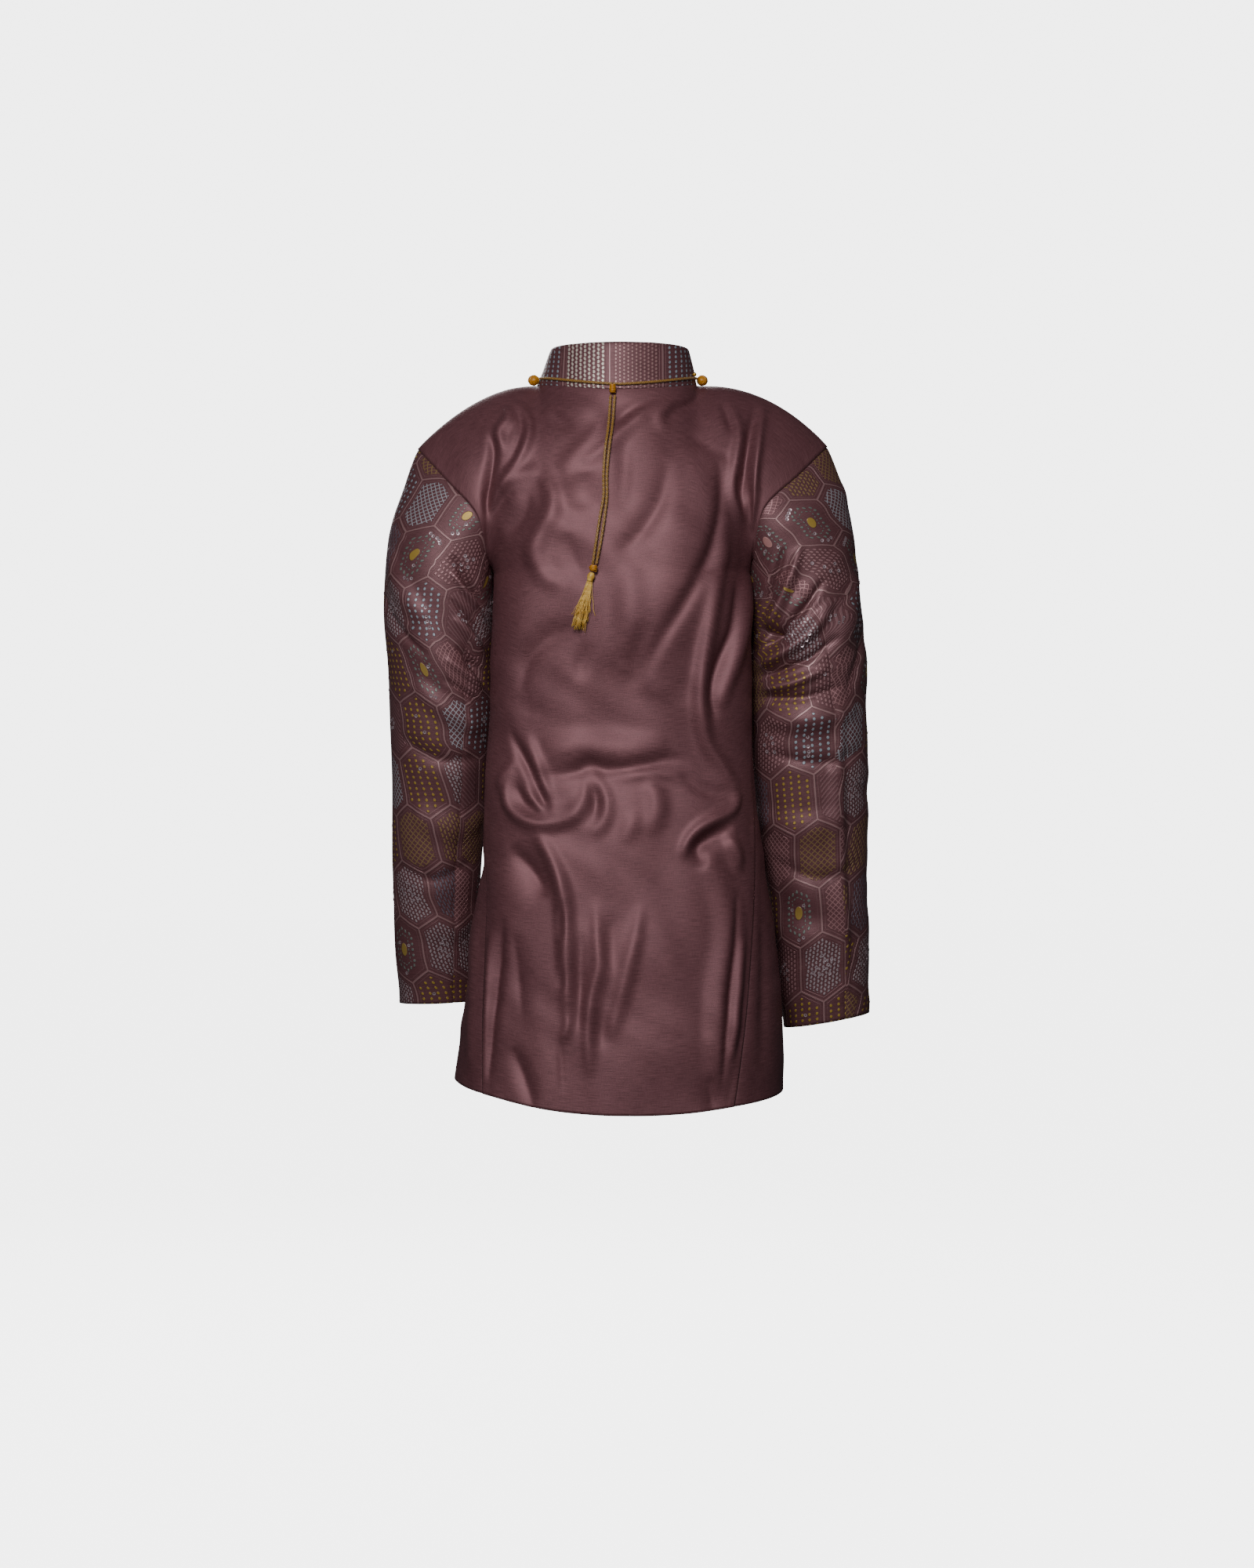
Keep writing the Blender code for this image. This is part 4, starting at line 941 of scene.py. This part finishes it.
sleeves = []
for side, name in enumerate(("sleeve_left", "sleeve_right")):
    share, along = np.meshgrid(np.linspace(0, 1, SLEEVE_CELLS[0] + 1),
                               np.linspace(0, 1, SLEEVE_CELLS[1] + 1))
    turn = interpolate(SLEEVE_SEAM, along)[side] + 360.0 * share
    smooth = sleeve_point(side, turn, along)
    normals = grid_normals(smooth, closed=True) * (-1.0 if side == 0 else 1.0)
    rise = 0.0
    for lap in (0.0, 360.0):
        rise = rise + fold_rise(
            [(width, height * mix(1.5, 1.0, run[0][1] / 300.0), [(t * SLEEVE_AROUND, m) for t, m in run])
             for width, height, run in SLEEVE_FOLDS[side]],
            (turn - lap) * SLEEVE_AROUND, along * SLEEVE_LENGTH)
    rise = rise + ripple(np.cos(np.radians(turn)) * 40.0, along * SLEEVE_LENGTH, 1.3 + side)
    inner = smooth_step((-np.cos(np.radians(turn)) - 0.6) / 0.3)
    rise = rise * (1.0 - 0.85 * inner * smooth_step((0.62 - along) / 0.1))
    rise = rise * smooth_step(along / 0.1) * smooth_step((1.0 - along) / 0.05 + 0.25)
    seam = np.minimum(share, 1.0 - share) * 300.0
    rise = rise - 0.8 * np.exp(-seam / 2.0) - 1.5 * np.exp(-along * SLEEVE_LENGTH / 2.0)
    spots = smooth + normals * rise[..., None]
    sleeve, chart = cloth(name + "_cloth", spots, embroidered, 0, side == 0, closed=True)
    sleeves.append((spots, normals, chart))
    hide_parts(name)
    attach(sleeve, "root")

# The sequins: small clear plastic cups with a hole, each sewn flat on the sleeves by a stitch.
# They lie in short runs and loose clusters, and each kind of cell has its own.
SEQUIN = 1.45
SEQUIN_PROFILE = ((SEQUIN, 0.1), (SEQUIN, 0.3), (SEQUIN * 0.42, 0.16), (SEQUIN, 0.1))
SEQUIN_SIDES = 8
# The places of the sequins in a cell, x and y in millimetres, by the number of its filling
ARC = ((2.0, 20.5), (5.0, 19.0), (7.9, 17.3), (10.8, 15.6), (12.9, 13.2))
PATCH = ((-2.0, 5.5), (1.6, 4.0), (-4.6, 1.0), (4.6, 0.2), (-1.0, -1.6), (2.2, -5.4), (-5.2, -6.4),
         (6.0, 7.6))
RUN = ((3.2, 6.6), (3.2, 2.9), (3.2, -4.4), (3.2, -8.6), (3.3, -12.2))
SEQUIN_PLACES = {
    0: ((-3.3, 9.0), (3.2, -3.6)),
    1: PATCH,
    2: ARC + ((3.4, -9.8), (-2.2, -20.6), (1.4, -21.4), (4.6, -19.4)),
    3: RUN,
    6: ARC[:4] + ((-6.6, 4.4), (6.4, -4.6), (-4.2, -8.8)),
    9: PATCH + ((0.6, 9.6), (-7.0, 4.8), (7.6, -3.4)),
    10: ((3.2, 12.0),),
    4: ((-2.4, 3.2), (1.3, 3.9), (3.8, 0.8), (2.2, -2.8), (-1.6, -3.4), (-4.2, -0.4)),
    12: ((-4.8, 5.8), (6.0, 3.2), (-3.0, -20.0), (0.4, -21.2)),
}
clear = new_material("clear_sequin", {"Base Color": (0.42, 0.33, 0.36, 1), "Metallic": 0.4,
                                      "Roughness": 0.34})


def turned(profile, steps):
    """A bmesh spun about the z axis from an outline of radius and height in millimetres."""
    bm = bmesh.new()
    ring = [bm.verts.new((radius, 0.0, height)) for radius, height in profile]
    line = [bm.edges.new(pair) for pair in zip(ring, ring[1:])]
    bmesh.ops.spin(bm, geom=ring + line, cent=(0, 0, 0), axis=(0, 0, 1), angle=math.tau,
                   steps=steps, use_merge=True)
    bmesh.ops.remove_doubles(bm, verts=bm.verts, dist=0.001)
    bmesh.ops.recalc_face_normals(bm, faces=bm.faces)
    return bm


def laid(place, turn=None):
    """The transform that turns and lays a form of millimetres at a place in millimetres."""
    return Matrix.LocRotScale(Vector(place) * MM, turn, Vector((MM, MM, MM)))


bm = turned(SEQUIN_PROFILE, SEQUIN_SIDES)
one_sequin = bpy.data.meshes.new("one_sequin")
bm.to_mesh(one_sequin)
bm.free()

rng = np.random.default_rng(11)
for (spots, normals, chart), name in zip(sleeves, ("sleeve_left", "sleeve_right")):
    flat = chart / MM
    along_x, along_y = unit(np.gradient(spots, axis=1)), unit(-np.gradient(spots, axis=0))
    low, high = flat.reshape(-1, 2).min(axis=0), flat.reshape(-1, 2).max(axis=0)
    bm = bmesh.new()
    for shift in (0.0, 0.5):
        for column in range(int(high[0] / CELL) + 2):
            for row in range(int(high[1] / CELL_STEP / 2.0) + 2):
                centre = np.array(((column + 0.5 - shift) * CELL, (row + 0.5 - shift) * CELL_STEP * 2.0))
                across, up = np.rint(centre / (CELL / 2.0, CELL_STEP)).astype(int)
                filling = int((pick_total(across, up) % PICKS + 0.5) / PICKS * len(FILLINGS))
                for place in SEQUIN_PLACES.get(filling, ()):
                    if rng.random() < 0.16:
                        continue
                    target = centre + place + rng.uniform(-0.35, 0.35, 2)
                    gap = np.linalg.norm(flat - target, axis=-1)
                    at = np.unravel_index(gap.argmin(), gap.shape)
                    inside = 2 < at[0] < gap.shape[0] - 3 and 2 < at[1] < gap.shape[1] - 3
                    if gap[at] > 3.0 or not inside:
                        continue
                    step = target - flat[at]
                    middle = spots[at] + along_x[at] * step[0] + along_y[at] * step[1]
                    tilt = Vector(unit(normals[at] + rng.uniform(-0.12, 0.12, 3)))
                    bm.from_mesh(one_sequin)
                    bm.verts.ensure_lookup_table()
                    bmesh.ops.transform(bm, matrix=laid(middle, tilt.to_track_quat("Z", "Y")),
                                        verts=bm.verts[-len(one_sequin.vertices):])
    sequins = new_object(name + "_sequins", bm, clear, smooth=False)
    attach(sequins, "root")

# The collar: a stiffened stand collar of the embroidered satin, open at the centre front. It is
# sewn to the neck edge and its top edge is turned.
COLLAR_CELLS = (280, 34)
COLLAR_WALL = 2.2
COLLAR_TOP_HALF = 54.5
COLLAR_TOP_BACK = 45.0
COLLAR_TOP_FRONT = 53.0
COLLAR_TOP = 28.5
COLLAR_FRONT_HEIGHT = 32.0
COLLAR_GAP_ANGLE = 4.0
COLLAR_FOOT = -0.05


def collar_point(angle, up):
    """A point of the collar's outer side: angle 90 is the back, 270 the front."""
    cosine, sine = np.cos(np.radians(angle)), np.sin(np.radians(angle))
    base = neck_point(np.where(sine > 0.0, 1.0, -1.0), angle)
    base[..., 2] += SEAM_GAP + 0.5 * np.maximum(0.0, -sine) ** 4
    depth = np.where(sine > 0.0, COLLAR_TOP_BACK, COLLAR_TOP_FRONT)
    front_top = COLLAR_FRONT_HEIGHT - NECK_FRONT_DROP
    top_z = np.where(sine > 0.0, COLLAR_TOP, mix(COLLAR_TOP, front_top, np.abs(sine) ** 1.7))
    top = spot(COLLAR_SHIFT + COLLAR_TOP_HALF * cosine, sine * depth, top_z)
    return base + (top - base) * np.asarray(up)[..., None]


# Upright bands of embroidery, which repeat round the collar. Columns as in the fillings
BAND_REPEAT = 122.0
BAND_START = 87.0
BANDS = (
    ("blue_knots", 0.152, 0.256, 0.0, 0.0, 1.2, 1.35, 0.0, 0.0, (0.33, 0.37, 0.42)),
    ("silver_chains", 0.27, 0.30, 0.0, 0.25, 1.1, 1.5, 0.5, 0.0, (0.66, 0.57, 0.50)),
    ("pink_bricks", 0.31, 0.33, 0.0, 0.0, 0.95, 1.2, 0.5, 0.0, (0.35, 0.19, 0.19)),
)
BAND_EDGES = (0.0, 39.0, 79.0)

banded = new_material("banded_satin", {"Metallic": 0.35})
x, y = (part * 1000.0 for part in parts_of(chart_of(banded))[:2])
x = calc("FLOORED_MODULO", x + BAND_START, BAND_REPEAT)
edge = 100.0
for line in (*BAND_EDGES, BAND_REPEAT):
    edge = calc("MINIMUM", edge, abs(x - line))
pick = x / BAND_REPEAT
ramps = filling_ramps(pick, BANDS, [line / BAND_REPEAT for line in BAND_EDGES])
embroider(banded, x, y, edge, pick, ramps, (), 3.2)

share, up = np.meshgrid(np.linspace(0, 1, COLLAR_CELLS[0] + 1),
                        np.linspace(1, COLLAR_FOOT, COLLAR_CELLS[1] + 1))
angle = np.clip(360.0 * share - 90.0, COLLAR_GAP_ANGLE - 90.0, 270.0 - COLLAR_GAP_ANGLE)
corner = np.maximum(0.0, 1.0 - np.minimum(share, 1.0 - share) / 0.05)
smooth = collar_point(angle, up * (1.0 - 0.4 * corner ** 2))
normals = -grid_normals(smooth)
rise = 0.35 * ripple(angle * 1.1, up * 45.0, 5.0) * smooth_step(up / 0.15)
rise = rise - 0.7 * np.exp(-(1.0 - up) * 45.0 / 1.2)
spots = smooth + normals * rise[..., None]
collar, _ = cloth("collar_band", spots, banded, COLLAR_CELLS[0] // 2, True)
collar.modifiers["wall"].thickness = COLLAR_WALL * MM
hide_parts("collar")
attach(collar, "root")

# The buttons: six plain domed brass buttons with shanks down the centre front. They are sewn to
# the right front, and come through buttonholes in the left one.
BUTTON_TOP = -74.0
BUTTON_STEP = 58.0
BUTTON_COUNT = 6
BUTTON_SIDES = 36
BUTTON_PROFILE = ((0.0, 4.2), (2.4, 4.0), (4.3, 3.3), (5.5, 2.2), (5.8, 1.5), (6.5, 1.7),
                  (7.0, 1.2), (7.0, 0.6), (6.6, 0.2), (0.0, 0.2))


def place_on(spots, normals, x, height, lift):
    """The spot of a cloth seen at x and height, lifted off it along its normal."""
    gap = np.hypot(spots[..., 0] - x, spots[..., 2] - height)
    at = np.unravel_index(gap.argmin(), gap.shape)
    normal = Vector(normals[at])
    place = Vector(spots[at])
    return Vector((x, place.y, height)) + normal * lift, normal


brass = new_material("button_brass", {"Base Color": (0.5, 0.33, 0.12, 1), "Metallic": 1.0,
                                      "Roughness": 0.32})

for number in range(BUTTON_COUNT):
    height = BUTTON_TOP - BUTTON_STEP * number
    place, normal = place_on(*front_spots[0], 0.0, height, 0.2)
    bm = turned(BUTTON_PROFILE, BUTTON_SIDES)
    bmesh.ops.transform(bm, matrix=laid(place, normal.to_track_quat("Z", "Y")), verts=bm.verts)
    button = new_object(f"button_{number + 1}_brass", bm, brass)
    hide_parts(f"button_{number + 1}")
    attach(button, "root")

# The gold cord on the collar's foot: two twisted cords tacked along the seam, which meet in a
# binding at the centre back and end in wound knots at the sides.
CORD = 2.2
NECK_CORD_TURNS = (14.0, 168.0)
NECK_CORD_MIDDLE = 85.0
NECK_CORD_RISE = (4.5, 2.4)
CORD_TWIST = 5.5
CORD_SIDES = 18
KNOT_RADIUS = 4.3
KNOT_DROP = 0.35
KNOT_LENGTH = 9.5


def sweep(name, path, radius, sides=12, lobes=0, twist=0.0, material=None, twist_from=0.0):
    """A closed tube along a path in millimetres, round or lobed like a twisted cord."""
    path = np.asarray(path, float)
    tangent = unit(np.gradient(path, axis=0))
    side = unit(np.cross(tangent[0], (0.31, 0.22, 0.93)))
    frames = []
    for ahead in tangent:
        side = unit(side - ahead * np.dot(side, ahead))
        frames.append((side, np.cross(ahead, side)))
    length = np.concatenate(((0.0,), np.cumsum(np.linalg.norm(np.diff(path, axis=0), axis=1))))
    bm = bmesh.new()
    bmesh.ops.create_grid(bm, x_segments=sides, y_segments=len(path) - 1, size=1.0)
    layer = bm.loops.layers.uv.new("chart")
    for face in bm.faces:
        for loop in face.loops:
            at = (loop.vert.co.y + 1.0) / 2.0 * (len(path) - 1)
            loop[layer].uv = ((loop.vert.co.x + 1.0) / 2.0, length[round(at)] * MM)
    radii = np.broadcast_to(radius, len(path))
    for vert in bm.verts:
        ring = round((vert.co.y + 1.0) / 2.0 * (len(path) - 1))
        turn = (vert.co.x + 1.0) * math.pi
        reach = radii[ring]
        if lobes:
            spiral = turn * lobes / 2.0 - length[ring] * math.pi * lobes / 2.0 / twist + twist_from
            reach *= 0.76 + 0.24 * abs(math.cos(spiral))
        across, beside = frames[ring]
        offset = across * math.cos(turn) + beside * math.sin(turn)
        vert.co = (path[ring] + offset * reach) * MM
    bmesh.ops.remove_doubles(bm, verts=bm.verts, dist=1e-6)
    bmesh.ops.holes_fill(bm, edges=[e for e in bm.edges if e.is_boundary], sides=0)
    bmesh.ops.recalc_face_normals(bm, faces=bm.faces)
    return new_object(name, bm, material)


def join(name, parts):
    """One object from several, with the first one's material."""
    bm = bmesh.new()
    for part in parts:
        bm.from_mesh(part.data)
    material = parts[0].data.materials[0]
    for part in parts:
        bpy.data.objects.remove(part)
    return new_object(name, bm, material)


def neck_cord_point(turn):
    """The middle of the cord on the collar's foot, at a turn round the collar."""
    middle = neck_point(1, np.array(90.0))
    base = neck_point(1, np.array(turn))
    rise = mix(NECK_CORD_RISE[1], NECK_CORD_RISE[0], abs(math.cos(math.radians(turn))))
    span = collar_point(np.array(turn), 1.0)[2] - base[2]
    on_collar = collar_point(np.array(turn), rise / span)
    out = unit(np.array((on_collar[0] - middle[0], on_collar[1], 0.0)))
    away = on_collar + out * (CORD / 2.0 + 0.4)
    return np.array((away[0], away[1], base[2] + rise))


def rope(name, path):
    return sweep(name, path, CORD / 2.0, CORD_SIDES, 3, CORD_TWIST, gold)


def floss_material(name, stretch, roughness, dark, light):
    """Lustrous thread with fine hairs along it."""
    made = new_material(name, {"Roughness": roughness})
    hairs = noise(chart_of(made), 1.0, stretch, 1.0)
    feed(shader_input(made, "Base Color"), blend_colour(between(hairs, 0.3, 0.7), dark, light))
    return made


gold = new_material("gold_cord", {"Roughness": 0.42, "Sheen Weight": 0.2})
chart = chart_of(gold)
turn, along, _ = parts_of(chart)
# The cord's colour holds painted shade: it is darker where the plies meet, in the grooves of the twist, and
# lighter along the middle of each ply. The hairs add the fibres' own uneven tone.
ply = calc("PINGPONG", (along * (1000.0 / CORD_TWIST) + turn) * 3.0, 0.5)
hairs = noise(chart, 1.0, (30, 1500, 1), 1.0)
share = between(ply, 0.02, 0.3) * between(hairs, 0.3, 0.6)
feed(shader_input(gold, "Base Color"), blend_colour(share, (0.13, 0.055, 0.010, 1), (0.44, 0.235, 0.040, 1)))
floss = floss_material("wound_floss", (24, 700, 1), 0.36, (0.34, 0.115, 0.006, 1), (0.66, 0.29, 0.018, 1))

for name, end in zip(("cord_neck_left", "cord_neck_right"), NECK_CORD_TURNS):
    meet = NECK_CORD_MIDDLE + math.copysign(0.2, end - NECK_CORD_MIDDLE)
    cord = rope(name + "_rope", [neck_cord_point(t) for t in np.linspace(end, meet, 130)])
    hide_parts(name)
    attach(cord, "root")


def wound(name, place, axis, radius, length, turns, thread, material, seed):
    """A knot wound from thread: an uneven coil over a core."""
    axis = unit(np.asarray(axis, float))
    side = unit(np.cross(axis, (0.3, 0.9, 0.2)))
    beside = np.cross(axis, side)
    share = np.linspace(0, 1, int(turns * 16))
    turn = share * turns * math.tau
    swell = np.sin(np.pi * mix(0.2, 0.8, share)) ** 0.5
    reach = (radius - thread) * swell + 0.25 * np.sin(turn * 0.61 + seed)
    path = np.asarray(place) + axis * ((share - 0.5) * (length - 2 * thread))[:, None]
    path = path + side * (reach * np.cos(turn))[:, None] + beside * (reach * np.sin(turn))[:, None]
    coil = sweep(name + "_coil", path, thread, 10, 3, thread * 5.0, material)
    line = np.asarray(place) + axis * (np.linspace(-0.5, 0.5, 9) * (length - thread))[:, None]
    core = sweep(name + "_core", line, (radius - thread) * 0.92, 12, material=material)
    return join(name, [coil, core])


for name, end, step in zip(("knot_left", "knot_right"), NECK_CORD_TURNS, (-1.0, 1.0)):
    tip = neck_cord_point(end)
    ahead = unit(neck_cord_point(end + step) - tip)
    outward = np.array((math.copysign(1.0, tip[0]), 0.0, -KNOT_DROP))
    place = tip + ahead * (KNOT_LENGTH / 2.0 - 0.3) + outward * (KNOT_RADIUS - CORD / 2.0 + 0.6)
    knot = wound(name + "_wound", place, ahead, KNOT_RADIUS, KNOT_LENGTH, 6, 0.85, floss, end)
    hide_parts(name)
    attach(knot, "root")

# Two small beads by the right knot: a gilt one that sits on top of the cord, and a dark glazed
# one that caps the knot.
glass = new_material("bead_glaze", {"Base Color": (0.045, 0.030, 0.028, 1), "Roughness": 0.2})
gilt = new_material("bead_gilt", {"Base Color": (0.80, 0.47, 0.06, 1), "Metallic": 0.9, "Roughness": 0.25})

tip = neck_cord_point(NECK_CORD_TURNS[1])
ahead = unit(neck_cord_point(NECK_CORD_TURNS[1] + 1.0) - tip)
capped = place + ahead * (KNOT_LENGTH / 2.0 + 0.8)
raised = neck_cord_point(NECK_CORD_TURNS[1] - 9.0) + np.array((-0.8, 0.6, 2.9))
for name, place, radius, material in (("bead_dark", capped, 1.9, glass), ("bead_gold", raised, 1.6, gilt)):
    bm = bmesh.new()
    bmesh.ops.create_uvsphere(bm, u_segments=20, v_segments=12, radius=radius, matrix=laid(place))
    bead = new_object(name, bm, material)
    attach(bead, "root")

# The hanging cord: a binding under the neck cord, two strands down the back, a knot that ties
# them, and a small tassel of loose threads, rooted in its own tied head.
BINDING_RADIUS = 2.7
BINDING_LENGTH = 7.0
CORD_LIFT = 1.5
STRAND_ROUTES = (
    ((4.6, -14.9), (6.4, -40.0), (8.9, -60.0), (10.0, -78.0), (10.0, -95.0), (12.8, -112.0),
     (15.6, -130.0), (18.2, -147.2)),
    ((1.4, -14.9), (3.4, -40.0), (6.0, -60.0), (7.4, -78.0), (7.4, -95.0), (9.2, -112.0),
     (12.0, -130.0), (15.4, -147.2)),
)
LOWER_KNOT_PLACE = (17.3, -150.6)
LOWER_KNOT_RADIUS = 3.4
TASSEL_TOP = (19.4, -157.8)
TASSEL_BOTTOM = (28.6, -197.0)
TASSEL_THREADS = 110
HEAD_RADII = (1.8, 2.4, 2.8, 2.9, 2.8, 2.5, 2.3, 2.0)

on_cord = neck_cord_point(NECK_CORD_MIDDLE)
height = on_cord[2] - CORD / 2.0 + 0.3 - BINDING_LENGTH / 2.0
below, _ = place_on(back_spots, back_normals, on_cord[0], height - BINDING_LENGTH / 2.0, 0.0)
place = np.array((on_cord[0], below.y + BINDING_RADIUS + 0.4, height))
binding = wound("cord_binding_wound", place, (0, 0, 1), BINDING_RADIUS, BINDING_LENGTH, 8, 0.5, floss, 1.0)
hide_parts("cord_binding")
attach(binding, "root")


def strand_path(route, count):
    """A strand's route in front of the cloth, which it bridges from fold to fold."""
    rows = [(place, *point) for place, point in enumerate(route)]
    x, height = interpolate(rows, np.linspace(0, len(route) - 1, count))
    depth = np.array([place_on(back_spots, back_normals, a, b, 0.0)[0].y for a, b in zip(x, height)])
    for _ in range(60):
        smooth = depth.copy()
        smooth[1:-1] = (depth[:-2] + depth[1:-1] * 2.0 + depth[2:]) / 4.0
        depth = np.maximum(depth, smooth)
    return spot(x, depth + CORD / 2.0 + CORD_LIFT, height)


strands = []
for name, route in zip(("cord_strand_a", "cord_strand_b"), STRAND_ROUTES):
    path = strand_path(route, 200)
    strand = rope(name + "_rope", path)
    length = float(np.linalg.norm(np.diff(path, axis=0), axis=1).sum()) * MM
    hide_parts(name)
    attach(strand, "root")
    strands.append((strand, path, length))

place, _ = place_on(back_spots, back_normals, *LOWER_KNOT_PLACE, LOWER_KNOT_RADIUS + CORD_LIFT)
place.y = max(place.y, strands[0][1][-1][1])
lower_knot = wound("cord_lower_knot_wound", place, (-0.2, 0.0, 1.0), LOWER_KNOT_RADIUS, 5.6, 3, 1.0,
                   floss, 2.0)
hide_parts("cord_lower_knot")
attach(lower_knot, "root")
for strand, path, length in strands:
    tuple(path[0] * MM)
    [tuple(p) for p in path[::5] * MM]

tassel_floss = floss_material("tassel_floss", (3, 260, 1), 0.38, (0.50, 0.26, 0.03, 1),
                              (0.84, 0.54, 0.12, 1))

rng = np.random.default_rng(4)
top, _ = place_on(back_spots, back_normals, *TASSEL_TOP, 3.6)
top = np.array(top)
bottom = np.array(place_on(back_spots, back_normals, *TASSEL_BOTTOM, 5.1)[0])
fall = unit(bottom - top)
side = unit(np.cross(fall, (0.0, 1.0, 0.0)))
beside = np.cross(side, fall)
parts = [sweep("head", top + fall * np.linspace(-4, 3, len(HEAD_RADII))[:, None], HEAD_RADII, 14,
               material=tassel_floss)]
for thread in range(TASSEL_THREADS):
    turn, reach = rng.uniform(0, math.tau), rng.uniform(0.1, 1.0) ** 0.5
    length = np.linalg.norm(bottom - top) * rng.uniform(0.62, 1.03)
    share = np.linspace(0, 1, 14)
    stray = 2.5 if thread % 10 == 5 else 1.0
    spread = 1.9 * reach * (1.0 + 2.1 * stray * share ** 1.5)
    wave = rng.uniform(-1.0, 1.0, 2) * 1.5 * stray
    kink = np.sin(share * rng.uniform(9, 18) + turn * 3.0) * 0.45 * share
    a = spread * math.cos(turn) + wave[0] * np.sin(share * rng.uniform(3, 8) + turn) * share + kink
    b = spread * 0.6 * math.sin(turn) + wave[1] * np.sin(share * rng.uniform(3, 8)) * share * 0.6
    b = np.maximum(b, -3.2)
    path = top + fall * (share * length)[:, None] + side * a[:, None] + beside * b[:, None]
    parts.append(sweep("thread", path, rng.uniform(0.2, 0.34), 4, material=tassel_floss))
tassel = join("tassel_threads", parts)
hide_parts("tassel")
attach(tassel, "root")
